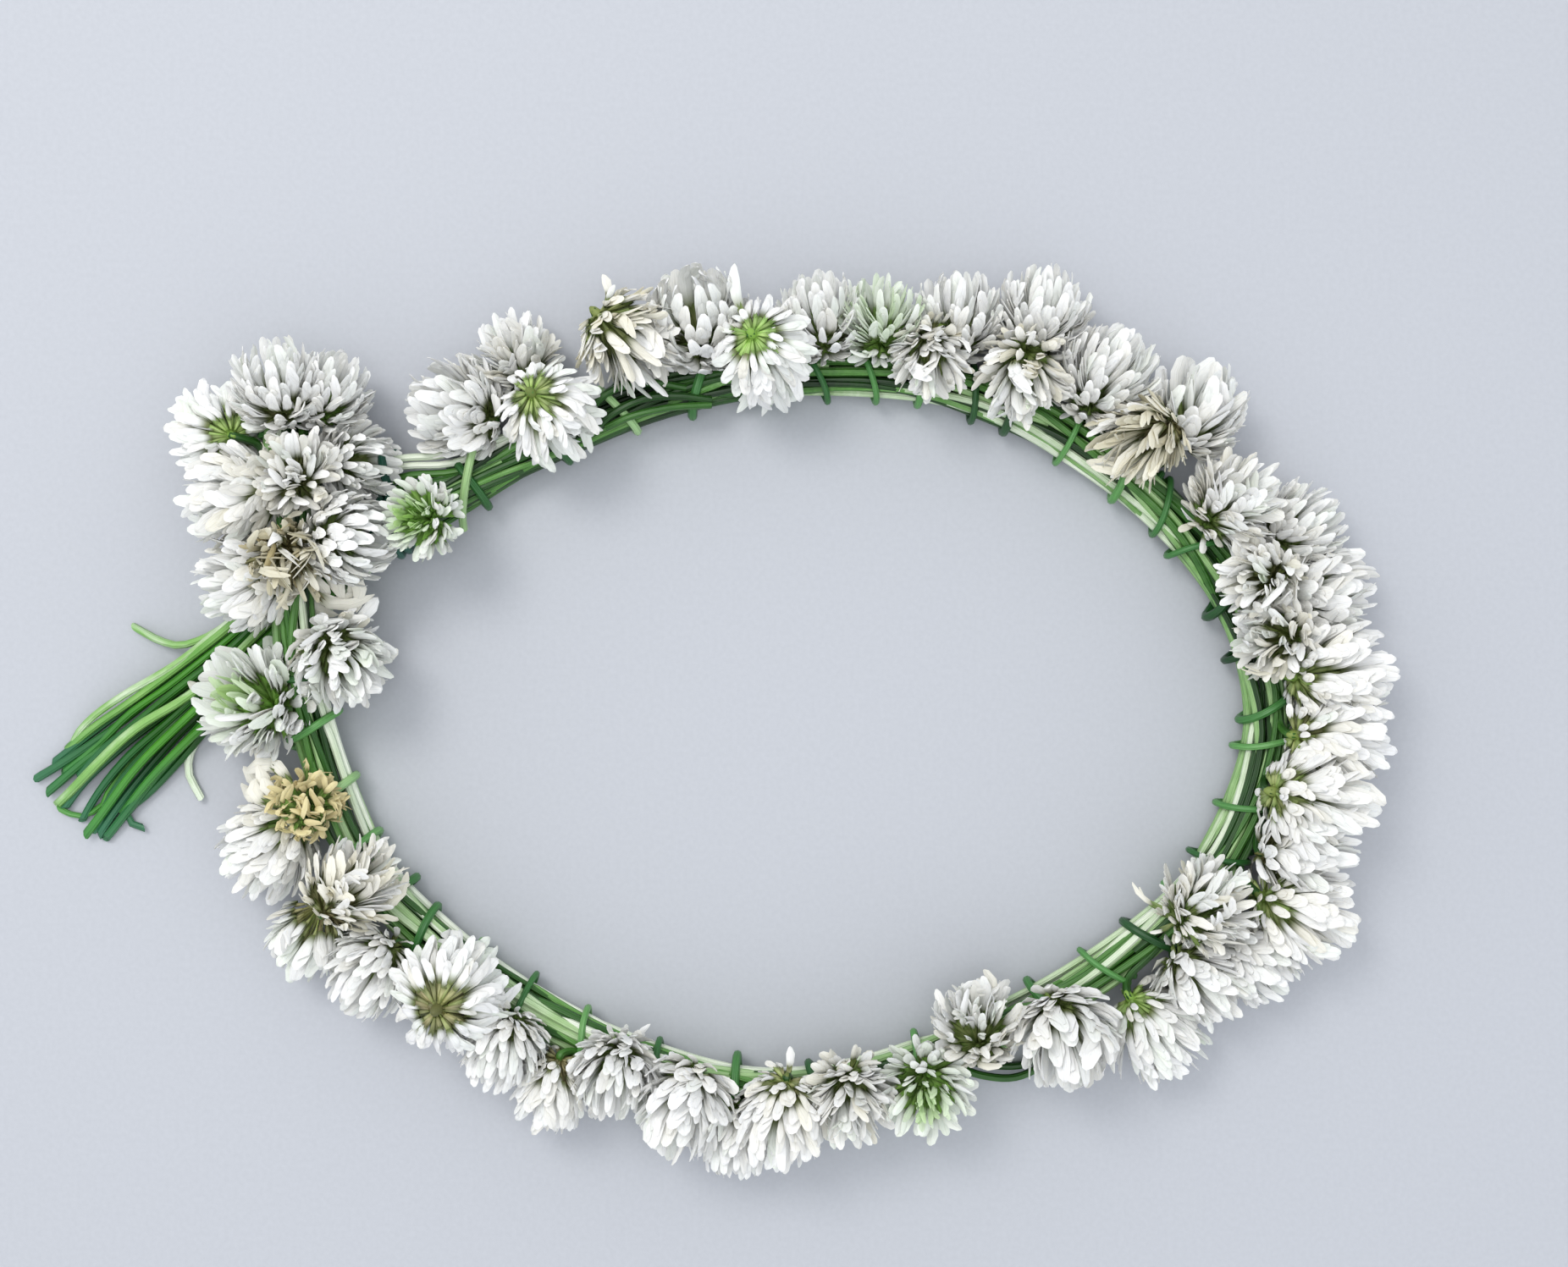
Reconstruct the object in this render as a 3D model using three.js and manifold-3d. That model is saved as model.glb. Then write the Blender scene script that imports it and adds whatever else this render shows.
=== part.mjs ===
// A fresh flower lei: white clover blossoms tied in one after another along a bundle of their own stems,
// closed to an oval crown that lies flat. The start of the lei is a raised cluster of blossoms. The end of
// the bundle is tied beside it, passes under it and fans out as a tail of cut stems.
// Millimetres, +Z up. The origin is on the surface that the lei lies on, under the middle of its outline.
import * as THREE from "three";
import { mergeVertices } from "three/addons/utils/BufferGeometryUtils.js";
import Module from "manifold-3d";

const wasm = await Module();
wasm.setup();

// The bundle of stems
const bundleRadius = 5.2; // to the middle of its surface relief
const outerStems = 8; // stems that show round its outside
const stemRelief = 0.37; // how far each of them stands proud, and the groove beside it lies deep
const stemTwist = 0.006; // radians that they turn round the bundle for each millimetre along it
const wrapRadius = 6.4; // to the outside of a stem wound round the bundle
const wrapWidth = 1.8;
const wrapShoulder = 0.35; // length over which a wrap rises from the bundle
const wrapReach = 2.4; // from the middle of a wrap to where a stalk lies beside it on the bundle
const longestRun = 12; // of the stems between two sections where nothing is wound round them
const pressedHeight = 0.45; // whatever would lie this low is pressed flat on the surface
const clearance = 0.3; // between neighbouring pieces

// The middle of the bundle, anticlockwise seen from above: down from the cluster, over the tail, round the
// oval and back to the tie. Each point is [x, y, height].
const bundleRoute = [
  [-95, 77, 9],
  [-94.5, 62, 12.5],
  [-93.5, 45, 13],
  [-92.5, 29, 12.6],
  [-91.6, 16, 12.6],
  [-90, 3, 9.6],
  [-85.5, -15.5, 5.7],
  [-76, -35, 5.2],
  [-61.5, -50, 5.2],
  [-43, -63, 5.2],
  [-19, -75.5, 5.2],
  [9, -82.5, 5.2],
  [34, -80.3, 5.2],
  [57, -72, 5.2],
  [79, -61, 5.2],
  [97, -48, 5.2],
  [110.5, -35, 5.2],
  [119.5, -19, 5.2],
  [124, 0, 5.2],
  [119, 22.5, 5.2],
  [109, 39, 5.2],
  [92, 56, 5.2],
  [72, 68.5, 5.2],
  [47, 77, 5.2],
  [17, 78.5, 5.2],
  [-14, 73, 5.2],
  [-43, 60.5, 5.2],
  [-57, 52.5, 6.3],
  [-66, 47.5, 7.6],
  [-71.4, 44.1, 7.8],
];

// The stem wound round the bundle at each of these distances along it, with the distance by which the
// outer side of its turn leads the inner side.
const wraps = [
  [12, 1], [26, 1], [67, 0], [79, 2], [95, 2], [109, 2], [121, -1], [133, 2], [147, 2], [160, 1],
  [176, 2], [194, 2], [212, 1], [231, 2], [253, -2], [269, -1], [286, 2], [301, 2], [313, 2], [325, 1],
  [337, 3], [350, 2], [365, 2], [373, 3], [387, 1], [401, 3], [413, -2], [425, 3], [437, 2], [451, 1],
  [466, 1], [475, 2], [487, 1], [499, 2], [511, 3], [524, 2], [537, -2], [556, 2], [574, 3], [593, 1],
];

// The tie that joins the end of the bundle to the root of the tail: three turns of one stem
const tieTurns = 3;
const tieTurnWidth = 2.1;
const tieInnerRadius = 6.0;
const tieOuterRadius = 7.5;
const tieGroove = 0.6; // depth of the groove between two turns

// The tail. Its root narrows from the tie to three flat layers of stems, which pass under the bundle.
const tailRoute = [
  [-72.1, 43.7, 7.9],
  [-75.5, 41.5, 7.7],
  [-80.5, 38.1, 4.8],
  [-85.5, 34.9, 3.55],
];
const tailRootSections = [
  // [share of the root's length, half width, half height]
  [0, 5.2, 5.2],
  [0.28, 5.5, 4.9],
  [0.62, 6.4, 4.1],
  [1, 7.9, 3.4],
];
const cutStemRadius = 1.0;
const cutStemSides = 5;
const layerHeights = [1.25, 3.5, 5.75]; // middles of the three layers where they leave the root
const layerPitch = 2.3; // between neighbours in a layer
const fanMiddle = [-108, 15]; // where the stems come out from under the cluster
const fanSpread = 1.1; // how much wider they lie there than in the root
const fanSettle = 0.1; // how much lower they lie there
const cutStemInside = 3; // length of a cut stem inside the root
const cutStemStraight = 5; // and straight out of it
const cutStemRun = 11; // between two sections of a cut stem
const leastCutStemRuns = 5;
// Each cut stem is [layer, place in its layer, [tip x, y, height], and where it bends on its own, the
// points that it passes]. Places count outward from the middle, and positive lies away from the oval.
const cutStems = [
  [0, 2.5, [-153, -11, 1.0]],
  [0, 1.5, [-149.5, -18, 1.0]],
  [0, 0.5, [-145.5, -22, 1.0]],
  [0, -0.5, [-141.5, -25.5, 1.0]],
  [0, -1.5, [-137, -26.5, 1.0]],
  [0, -2.5, [-130.5, -23.5, 1.0]],
  [1, 2, [-151, -13.5, 3.2]],
  [1, 1, [-147, -18, 3.2]],
  [1, 0, [-142.5, -22, 3.2]],
  [1, -1, [-137.5, -24, 3.2]],
  [1, -2, [-131, -20.5, 3.2]],
  [2, 1.5, [-147, -6, 4.2], [[-110, 18.2, 5.7], [-128, 4.5, 6.6], [-140, -3, 6.4]]],
  [2, 0.5, [-144, -15.5, 5.4]],
  [2, -0.5, [-138.5, -20, 5.4]],
  [2, -1.5, [-132.5, -17, 5.4]],
  [1, 3, [-131, 21.5, 4.4], [[-102, 30, 3.6], [-112, 23.5, 3.6], [-122.5, 18, 3.8]]],
  [1, -3, [-117, -17, 1.0], [[-100.5, 7.5, 3.4], [-110, -1, 1.7], [-115, -9, 1.1]]],
];

// How a blossom is built, by its age. core is how far out the gaps between florets end as a share of the
// head's radius, ragged the spread of floret lengths, flat the head's length along its stalk as a share of
// its width, and droop how far out the lowest florets reach, closed in round the stalk.
const ages = {
  fresh: { core: 0.8, ragged: 0.04, flat: 0.96, droop: 0.76, color: 0xf4f5ee },
  open: { core: 0.76, ragged: 0.07, flat: 0.9, droop: 0.84, color: 0xe9efdf },
  cream: { core: 0.74, ragged: 0.08, flat: 0.86, droop: 0.76, color: 0xe8e0c6 },
  spent: { core: 0.66, ragged: 0.12, flat: 0.82, droop: 0.68, color: 0xc9b489 },
};
const floretPitch = 10.2; // between neighbouring florets in one whorl
const floretWhorls = 6;
const firstWhorl = 20; // degrees from the top of the head
const lastWhorl = 150;
const polarWander = 4; // degrees by which a floret strays from its whorl
const turnWander = 0.16; // and round the head, as a share of the space that it has there
const neighbourReach = 1.5; // radii from a head's middle within which its neighbours press on it
const stemReach = 1.1; // radii along a stem within which that stem presses on a head
const dividedBetween = [0.3, 0.7]; // shares of the way between two heads where they may meet

// The blossoms in the order that they were tied in, each [distance along the bundle, distance outward from
// its middle, height of the head's centre, head radius, age].
const blossoms = [
  [3, -1, 21, 11.7, "fresh"],
  [4, -12, 14, 10.9, "fresh"],
  [12, 17.5, 9.5, 12.6, "open"],
  [21, -16, 13, 10.2, "fresh"],
  [24, -5, 25, 10, "cream"],
  [27, 12, 16, 13.1, "open"],
  [38, -15, 20, 11.3, "fresh"],
  [42, -3, 26, 10.6, "spent"],
  [46, 11, 17, 11.5, "open"],
  [66, -11, 18, 12.9, "cream"],
  [71, 10, 15, 14.9, "open"],
  [95, 5, 18, 12.1, "spent"],
  [103, 18, 8.5, 12, "fresh"],
  [115, 0, 19, 11, "cream"],
  [118, 20, 7.5, 10.5, "open"],
  [130, 14, 12, 12.1, "fresh"],
  [146, 1, 20, 13.9, "cream"],
  [161, 8, 15, 10.3, "fresh"],
  [175, 14, 11, 10.9, "cream"],
  [185, 1, 18, 10, "fresh"],
  [201, 4, 18, 12.2, "fresh"],
  [213, 10, 12, 9.5, "fresh"],
  [222, 5, 17, 11, "open"],
  [237, 1, 18, 10.5, "fresh"],
  [253, 3, 18, 11.3, "open"],
  [269, -7, 17, 11, "open"],
  [285, 5, 19, 13.2, "fresh"],
  [301, 18, 9, 13.1, "open"],
  [315, 13.5, 12, 11.3, "fresh"],
  [325, 19, 8.5, 11.5, "fresh"],
  [326, 0, 19, 11.5, "cream"],
  [336, 20, 11, 13.2, "open"],
  [345, 13, 13, 12.5, "fresh"],
  [356, 11, 16, 13.8, "open"],
  [367, 14, 14, 13.2, "open"],
  [378, 15, 14, 13.5, "open"],
  [388, 2, 17.5, 9.5, "cream"],
  [393, 19, 9, 11.8, "fresh"],
  [400, 4, 17.5, 9.5, "cream"],
  [404, 20, 8, 10.1, "fresh"],
  [416, 10, 15, 12.4, "open"],
  [433, 20, 10, 12.4, "fresh"],
  [439, 5, 18, 11.5, "spent"],
  [451, 14, 12.5, 12.7, "fresh"],
  [466, 5, 17.5, 11.3, "cream"],
  [467, 21, 9, 11.8, "fresh"],
  [483, 15, 10.5, 11, "fresh"],
  [486, 3, 17.5, 9.5, "cream"],
  [497, 10, 15, 11, "open"],
  [509, 11, 13.5, 10.8, "fresh"],
  [521, 3, 19, 12, "open"],
  [534, 13.5, 13, 12.4, "fresh"],
  [548, 11, 15, 13.4, "spent"],
  [569, 5, 18, 12.2, "open"],
  [571, 20, 9, 11, "fresh"],
  [586, 15, 12.5, 12.4, "fresh"],
  [604, -4, 22, 11, "open"],
];

const bundleColor = 0x86b064;
const tailColor = 0x4e9a2c;
const tieColor = 0x1f5a3c;
const stemRoughness = 0.5;
const floretRoughness = 0.7;

const up = new THREE.Vector3(0, 0, 1);
const curveDivisions = 1200; // for lengths along a curve
const mergeDistance = 1e-4;
const leastSlope = 1e-6; // below it a direction runs along a wall
const bundleSampling = 3; // between the points that stand for the bundle
const cutStemSampling = 5;
const randomSeed = 41;
THREE.MathUtils.seededRandom(randomSeed);
const spread = (amount) => (THREE.MathUtils.seededRandom() * 2 - 1) * amount;

const toVector = (point) => new THREE.Vector3(...point);
const degrees = THREE.MathUtils.degToRad;

function smoothCurve(points) {
  const curve = new THREE.CatmullRomCurve3(points.map(toVector), false, "centripetal");
  curve.arcLengthDivisions = curveDivisions;
  return curve;
}

// The point at a distance along a curve, with its direction, the level direction away from the oval and
// the direction upward across the curve.
function frameAt(curve, distance) {
  const share = THREE.MathUtils.clamp(distance / curve.getLength(), 0, 1);
  const point = curve.getPointAt(share);
  const along = curve.getTangentAt(share);
  const outward = new THREE.Vector3().crossVectors(along, up).normalize();
  const rise = new THREE.Vector3().crossVectors(outward, along).normalize();
  return { point, along, outward, rise };
}

function solidGeometry(positions, index) {
  const geometry = new THREE.BufferGeometry();
  geometry.setAttribute("position", new THREE.Float32BufferAttribute(positions, 3));
  geometry.setIndex(index);
  geometry.computeVertexNormals();
  return geometry;
}

// A closed body through rings of points along a route, with a flat end at each end. Each ring is a list of
// the same number of points, clockwise as seen looking back along the route.
function bodyThroughRings(rings) {
  const around = rings[0].length;
  const positions = [];
  const index = [];
  for (const ring of rings) {
    for (const point of ring) {
      const height = point.z < pressedHeight ? 0 : point.z;
      positions.push(point.x, point.y, height);
    }
  }
  for (let row = 0; row + 1 < rings.length; row += 1) {
    for (let step = 0; step < around; step += 1) {
      const near = row * around + step;
      const nearNext = row * around + ((step + 1) % around);
      const far = near + around;
      const farNext = nearNext + around;
      index.push(near, farNext, nearNext, near, far, farNext);
    }
  }
  const last = (rings.length - 1) * around;
  for (let step = 1; step + 1 < around; step += 1) {
    index.push(0, step, step + 1);
    index.push(last, last + step + 1, last + step);
  }
  return solidGeometry(positions, index);
}

// One ring of the bundle. lead shifts its outer side ahead of its inner side along the route.
function bundleRing(curve, distance, lead, radiusAt, halfWidth = 1, halfHeight = 1) {
  const ring = [];
  const count = outerStems * 2;
  for (let step = 0; step < count; step += 1) {
    const angle = (step / count) * 2 * Math.PI + distance * stemTwist;
    const radius = radiusAt(step);
    const here = distance + (lead * Math.cos(angle) * radius) / bundleRadius;
    const { point, outward, rise } = frameAt(curve, here);
    point.addScaledVector(outward, Math.cos(angle) * radius * halfWidth);
    point.addScaledVector(rise, Math.sin(angle) * radius * halfHeight);
    ring.push(point);
  }
  return ring;
}

const grooved = (step) => bundleRadius + (step % 2 === 0 ? stemRelief : -stemRelief);

function stemBundle(curve) {
  const wound = () => wrapRadius;
  const half = wrapWidth / 2;
  const foot = half + wrapShoulder;
  const rings = [bundleRing(curve, 0, 0, grooved)];
  let before = 0;
  for (const [distance, lead] of wraps) {
    for (let extra = before + longestRun; extra < distance - longestRun / 2; extra += longestRun) {
      rings.push(bundleRing(curve, extra, 0, grooved));
    }
    rings.push(bundleRing(curve, distance - foot, lead, grooved));
    rings.push(bundleRing(curve, distance - half, lead, wound));
    rings.push(bundleRing(curve, distance + half, lead, wound));
    rings.push(bundleRing(curve, distance + foot, lead, grooved));
    before = distance;
  }
  rings.push(bundleRing(curve, curve.getLength(), 0, grooved));
  return bodyThroughRings(rings);
}

function tieGeometry() {
  const half = (tieTurns * tieTurnWidth) / 2;
  const profile = [new THREE.Vector2(tieInnerRadius, -half)];
  for (let turn = 0; turn < tieTurns; turn += 1) {
    const start = -half + turn * tieTurnWidth;
    const groove = new THREE.Vector2(tieOuterRadius - tieGroove, start);
    const crest = new THREE.Vector2(tieOuterRadius, start + tieTurnWidth / 2);
    profile.push(groove, crest);
  }
  profile.push(new THREE.Vector2(tieOuterRadius - tieGroove, half));
  profile.push(new THREE.Vector2(tieInnerRadius, half));
  profile.push(profile[0].clone());
  return new THREE.LatheGeometry(profile, outerStems * 2);
}

const bare = (geometry) => {
  const plain = geometry.index ? geometry.clone() : mergeVertices(geometry);
  plain.deleteAttribute("normal");
  plain.deleteAttribute("uv");
  return mergeVertices(plain, mergeDistance);
};

function toSolid(geometry) {
  const merged = bare(geometry);
  const vertProperties = new Float32Array(merged.attributes.position.array);
  const triVerts = new Uint32Array(merged.index.array);
  return new wasm.Manifold(new wasm.Mesh({ numProp: 3, vertProperties, triVerts }));
}

function fromSolid(solid) {
  const mesh = solid.getMesh();
  return solidGeometry(Array.from(mesh.vertProperties), Array.from(mesh.triVerts));
}

// The way of one cut stem from inside the tail's root to its tip
function cutStemCurve(rootEnd, [layer, place, tip, passes]) {
  const height = layerHeights[layer];
  const across = rootEnd.outward;
  const at = (x, y, sideways, z) => new THREE.Vector3(x, y, z).addScaledVector(across, sideways);
  const { point, along } = rootEnd;
  const beside = (run) =>
    at(point.x + along.x * run, point.y + along.y * run, place * layerPitch, height);
  const fan = at(fanMiddle[0], fanMiddle[1], place * layerPitch * fanSpread, height - fanSettle);
  const between = passes ? passes.map(toVector) : [fan];
  const points = [beside(-cutStemInside), beside(cutStemStraight), ...between, toVector(tip)];
  return new THREE.CatmullRomCurve3(points, false, "centripetal");
}

function cutStemGeometry(curve) {
  const section = new THREE.Shape();
  for (let side = 0; side < cutStemSides; side += 1) {
    const angle = (side / cutStemSides) * 2 * Math.PI;
    const x = Math.cos(angle) * cutStemRadius;
    const y = Math.sin(angle) * cutStemRadius;
    if (side === 0) {
      section.moveTo(x, y);
    } else {
      section.lineTo(x, y);
    }
  }
  const steps = Math.max(leastCutStemRuns, Math.round(curve.getLength() / cutStemRun));
  return new THREE.ExtrudeGeometry(section, { steps, extrudePath: curve, bevelEnabled: false });
}

function tailGeometry(rootCurve, stemCurves) {
  const length = rootCurve.getLength();
  const rings = tailRootSections.map(([share, width, height]) =>
    bundleRing(rootCurve, share * length, 0, grooved, width / bundleRadius, height / bundleRadius));
  const stems = stemCurves.map((curve) => toSolid(cutStemGeometry(curve)));
  return fromSolid(stems.reduce((whole, stem) => whole.add(stem), toSolid(bodyThroughRings(rings))));
}

// Points along the stems that a blossom has to stay clear of, with the radius that they take up
function samplesAlong(curve, every, radius, isBundle = false) {
  const count = Math.max(2, Math.round(curve.getLength() / every));
  return Array.from({ length: count + 1 }, (_, step) => {
    const { point, along } = frameAt(curve, (step / count) * curve.getLength());
    return { point, along, radius: radius + clearance, isBundle };
  });
}

// A wall is a plane that a blossom stays on one side of: every point p of it has normal.p <= limit.
function wallsRound(head, heads, stemSamples) {
  const walls = [{ normal: new THREE.Vector3(0, 0, -1), limit: 0 }];
  for (const other of heads) {
    const gap = other.centre.clone().sub(head.centre);
    const distance = gap.length();
    if (other === head || distance > (head.radius + other.radius) * neighbourReach) {
      continue;
    }
    const shift = (head.radius ** 2 - other.radius ** 2) / (2 * distance);
    const [nearest, furthest] = dividedBetween.map((share) => share * distance);
    const reach = THREE.MathUtils.clamp(distance / 2 + shift, nearest, furthest);
    const normal = gap.divideScalar(distance);
    walls.push({ normal, limit: normal.dot(head.centre) + reach - clearance / 2 });
  }
  for (const { point, along, radius, isBundle } of stemSamples) {
    const away = point.clone().sub(head.centre);
    const sideways = away.addScaledVector(along, -away.dot(along));
    const ahead = Math.abs(point.clone().sub(head.centre).dot(along));
    if (ahead < head.radius * stemReach && sideways.length() < head.radius * neighbourReach + radius) {
      const normal = sideways.normalize();
      walls.push({ normal, limit: normal.dot(point) - radius, isBundle });
    }
  }
  return walls;
}

function reachWithin(head, walls, direction, wanted) {
  let reach = wanted;
  for (const { normal, limit } of walls) {
    const towards = normal.dot(direction);
    if (towards > leastSlope) {
      reach = Math.min(reach, (limit - normal.dot(head.centre)) / towards);
    }
  }
  return reach;
}

// A round head of florets in staggered whorls. Each floret is a four-sided point that stands out between
// gaps, the gaps reach the core, and the stalk runs down from the core towards the bundle.
function blossomGeometry(head) {
  const age = ages[head.age];
  const around = 2 * Math.round((2 * Math.PI * head.radius) / floretPitch);
  const turned = new THREE.Quaternion().setFromUnitVectors(up, head.axis);
  const positions = [];
  const index = [];
  const put = (polar, turn, wanted) => {
    const squeezed = Math.hypot(Math.sin(polar), age.flat * Math.cos(polar));
    const direction = new THREE.Vector3().setFromSphericalCoords(1, polar, turn);
    direction.set(direction.z, direction.x, direction.y).applyQuaternion(turned);
    const reach = reachWithin(head, head.walls, direction, wanted * squeezed);
    positions.push(...head.centre.clone().addScaledVector(direction, reach).toArray());
  };
  put(0, 0, head.radius);
  const step = (lastWhorl - firstWhorl) / (floretWhorls - 1);
  for (let whorl = 0; whorl < floretWhorls; whorl += 1) {
    const fade = whorl === floretWhorls - 1 ? age.droop : 1;
    for (let side = 0; side < around; side += 1) {
      const isTip = (whorl + side) % 2 === 0;
      const wanted = (isTip ? 1 + spread(age.ragged) : age.core) * head.radius * fade;
      const polar = degrees(firstWhorl + whorl * step + spread(polarWander));
      put(polar, ((side + spread(turnWander)) / around) * 2 * Math.PI, wanted);
    }
  }
  const down = head.axis.clone().negate();
  const others = head.walls.filter(({ isBundle }) => !isBundle);
  const stalk = reachWithin(head, others, down, head.stalk);
  positions.push(...head.centre.clone().addScaledVector(down, stalk).toArray());
  const at = (whorl, side) => 1 + whorl * around + (side % around);
  const stalkEnd = 1 + floretWhorls * around;
  for (let side = 0; side < around; side += 1) {
    index.push(0, at(0, side), at(0, side + 1));
    index.push(stalkEnd, at(floretWhorls - 1, side + 1), at(floretWhorls - 1, side));
    for (let whorl = 0; whorl + 1 < floretWhorls; whorl += 1) {
      const [a, b] = [at(whorl, side), at(whorl, side + 1)];
      const [d, c] = [at(whorl + 1, side), at(whorl + 1, side + 1)];
      if ((whorl + side) % 2 === 0) {
        index.push(a, d, b, d, c, b);
      } else {
        index.push(a, d, c, a, c, b);
      }
    }
  }
  return solidGeometry(positions, index);
}

// How far the bundle's faceted surface stands from its middle, at a distance along it and an angle round it
function bundleSurface(distance, angle) {
  const leads = (wrapRadius / bundleRadius) * Math.cos(angle);
  if (wraps.some(([place, lead]) => Math.abs(place + lead * leads - distance) < wrapReach)) {
    return wrapRadius;
  }
  const facet = Math.PI / outerStems;
  const turns = THREE.MathUtils.euclideanModulo(angle - distance * stemTwist, 2 * Math.PI) / facet;
  const [near, far] = [grooved(Math.floor(turns)), grooved(Math.floor(turns) + 1)];
  const past = (turns % 1) * facet;
  return (near * far * Math.sin(facet)) / (near * Math.sin(past) + far * Math.sin(facet - past));
}

function blossomHeads(curve, stemSamples) {
  const heads = blossoms.map(([distance, outwardBy, height, radius, age]) => {
    const { point, outward, rise } = frameAt(curve, distance);
    const centre = point.clone().addScaledVector(outward, outwardBy).setZ(height);
    const away = centre.clone().sub(point);
    const angle = Math.atan2(away.dot(rise), away.dot(outward));
    const stalk = away.length() - bundleSurface(distance, angle) - clearance;
    return { centre, radius, age, stalk, axis: away.normalize() };
  });
  for (const head of heads) {
    head.walls = wallsRound(head, heads, stemSamples);
  }
  return heads;
}

function pieceOf(name, geometry, color, roughness) {
  const material = new THREE.MeshStandardMaterial({ color, roughness, metalness: 0 });
  const mesh = new THREE.Mesh(geometry, material);
  mesh.name = name;
  return mesh;
}

const lei = new THREE.Group();
const bundleCurve = smoothCurve(bundleRoute);
const tailRootCurve = smoothCurve(tailRoute);
const tailRootEnd = frameAt(tailRootCurve, tailRootCurve.getLength());
const cutStemCurves = cutStems.map((stem) => cutStemCurve(tailRootEnd, stem));

lei.add(pieceOf("stem_bundle", stemBundle(bundleCurve), bundleColor, stemRoughness));
lei.add(pieceOf("tail_stems", tailGeometry(tailRootCurve, cutStemCurves), tailColor, stemRoughness));

const tie = pieceOf("tie_stem", bare(tieGeometry()), tieColor, stemRoughness);
const tieFrame = frameAt(bundleCurve, bundleCurve.getLength());
tie.position.copy(tieFrame.point).lerp(toVector(tailRoute[0]), 0.5);
tie.quaternion.setFromUnitVectors(new THREE.Vector3(0, 1, 0), tieFrame.along);
lei.add(tie);

const stemSamples = [
  ...samplesAlong(bundleCurve, bundleSampling, wrapRadius, true),
  ...samplesAlong(tailRootCurve, bundleSampling, tieOuterRadius),
  ...cutStemCurves.flatMap((curve) => samplesAlong(curve, cutStemSampling, cutStemRadius)),
];
blossomHeads(bundleCurve, stemSamples).forEach((head, order) => {
  const name = `blossom_${String(order + 1).padStart(2, "0")}`;
  lei.add(pieceOf(name, blossomGeometry(head), ages[head.age].color, floretRoughness));
});

// The origin goes to the middle of the outline, on the surface.
const outline = new THREE.Box3().setFromObject(lei, true);
const middle = outline.getCenter(new THREE.Vector3());
lei.position.set(-middle.x, -middle.y, -outline.min.z);

export default lei;
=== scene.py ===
import math
from functools import partial

import bpy
import numpy as np
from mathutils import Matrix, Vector


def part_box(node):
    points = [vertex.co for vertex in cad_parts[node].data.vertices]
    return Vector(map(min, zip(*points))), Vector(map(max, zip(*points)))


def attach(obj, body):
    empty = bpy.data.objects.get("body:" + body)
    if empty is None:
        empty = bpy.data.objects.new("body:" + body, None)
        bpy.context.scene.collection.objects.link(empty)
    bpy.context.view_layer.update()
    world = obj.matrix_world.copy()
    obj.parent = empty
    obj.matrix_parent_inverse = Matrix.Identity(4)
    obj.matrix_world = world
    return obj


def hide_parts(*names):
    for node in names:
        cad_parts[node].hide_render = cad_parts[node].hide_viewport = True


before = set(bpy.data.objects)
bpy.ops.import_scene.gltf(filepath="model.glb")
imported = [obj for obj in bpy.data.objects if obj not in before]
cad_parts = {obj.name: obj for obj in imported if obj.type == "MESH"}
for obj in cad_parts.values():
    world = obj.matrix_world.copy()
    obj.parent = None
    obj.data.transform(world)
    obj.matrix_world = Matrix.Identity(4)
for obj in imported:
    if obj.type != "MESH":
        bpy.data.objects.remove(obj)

# A white clover lei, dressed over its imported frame: every head gets its florets, every stem its own strand.
# Shapes are worked out in millimetres and turned to metres when a mesh is made.
mm = 0.001
fullTurn = 2 * math.pi
up = np.array([0.0, 0.0, 1.0])
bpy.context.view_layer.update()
pieces = []


# small maths

def unit(v):
    return v / np.maximum(np.linalg.norm(v, axis=-1, keepdims=True), 1e-9)


def between(a, b, first, last, t):
    return (a * (last - t) + b * (t - first)) / (last - first)


def smoothLine(points, perSpan=16):
    # centripetal spline through every point, the same that the solids follow
    pts = np.array(points, float)
    ends = np.vstack([2 * pts[0] - pts[1], pts, 2 * pts[-1] - pts[-2]])
    line = []
    for a, b, c, d in zip(ends, ends[1:], ends[2:], ends[3:]):
        t1 = np.linalg.norm(b - a) ** 0.5
        t2 = t1 + np.linalg.norm(c - b) ** 0.5
        t3 = t2 + np.linalg.norm(d - c) ** 0.5
        t = np.linspace(t1, t2, perSpan, endpoint=False)[:, None]
        ab, bc, cd = between(a, b, 0, t1, t), between(b, c, t1, t2, t), between(c, d, t2, t3, t)
        line.append(between(between(ab, bc, 0, t2, t), between(bc, cd, t1, t3, t), t1, t2, t))
    line.append(pts[-1:])
    return np.vstack(line)


def measured(line):
    steps = np.linalg.norm(np.diff(line, axis=0), axis=1)
    return {"line": line, "run": np.concatenate([[0.0], np.cumsum(steps)])}


def lineAt(route, distances):
    return np.stack([np.interp(distances, route["run"], route["line"][:, k]) for k in range(3)], axis=-1)


def placesAlong(route, distances, feel=0.7):
    # points on the route with the directions along it, level outward from the oval, and up across it
    d = np.clip(np.asarray(distances, float), feel, route["run"][-1] - feel)
    point = lineAt(route, distances)
    along = unit(lineAt(route, d + feel) - lineAt(route, d - feel))
    outward = unit(np.cross(along, up))
    rise = np.cross(outward, along)
    return point, along, outward, rise


def circle(sides):
    # the angles of the points round a closed section
    return np.arange(sides) / sides * fullTurn


def roundIt(middle, first, second, angle, radius=1.0):
    # points round a middle, where first and second are the directions at 0 and at 90 degrees
    return middle + first * (np.cos(angle) * radius)[..., None] + second * (np.sin(angle) * radius)[..., None]


def sunk(fromEnd, over, depth):
    # how deep a stem's ends go in between the others, from how far each point is from its nearer end
    return depth * np.clip(1 - fromEnd / over, 0, 1) ** 2


def wander(rng, distances, size, runs=(45, 110), waves=3):
    # a slow drift from side to side, as soft stems lie: a few waves of such lengths in mm
    drift = np.zeros(len(distances))
    for _ in range(waves):
        run = rng.uniform(*runs)
        drift += np.sin(distances / run * fullTurn + rng.uniform(0, fullTurn))
    return drift * size / waves


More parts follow.
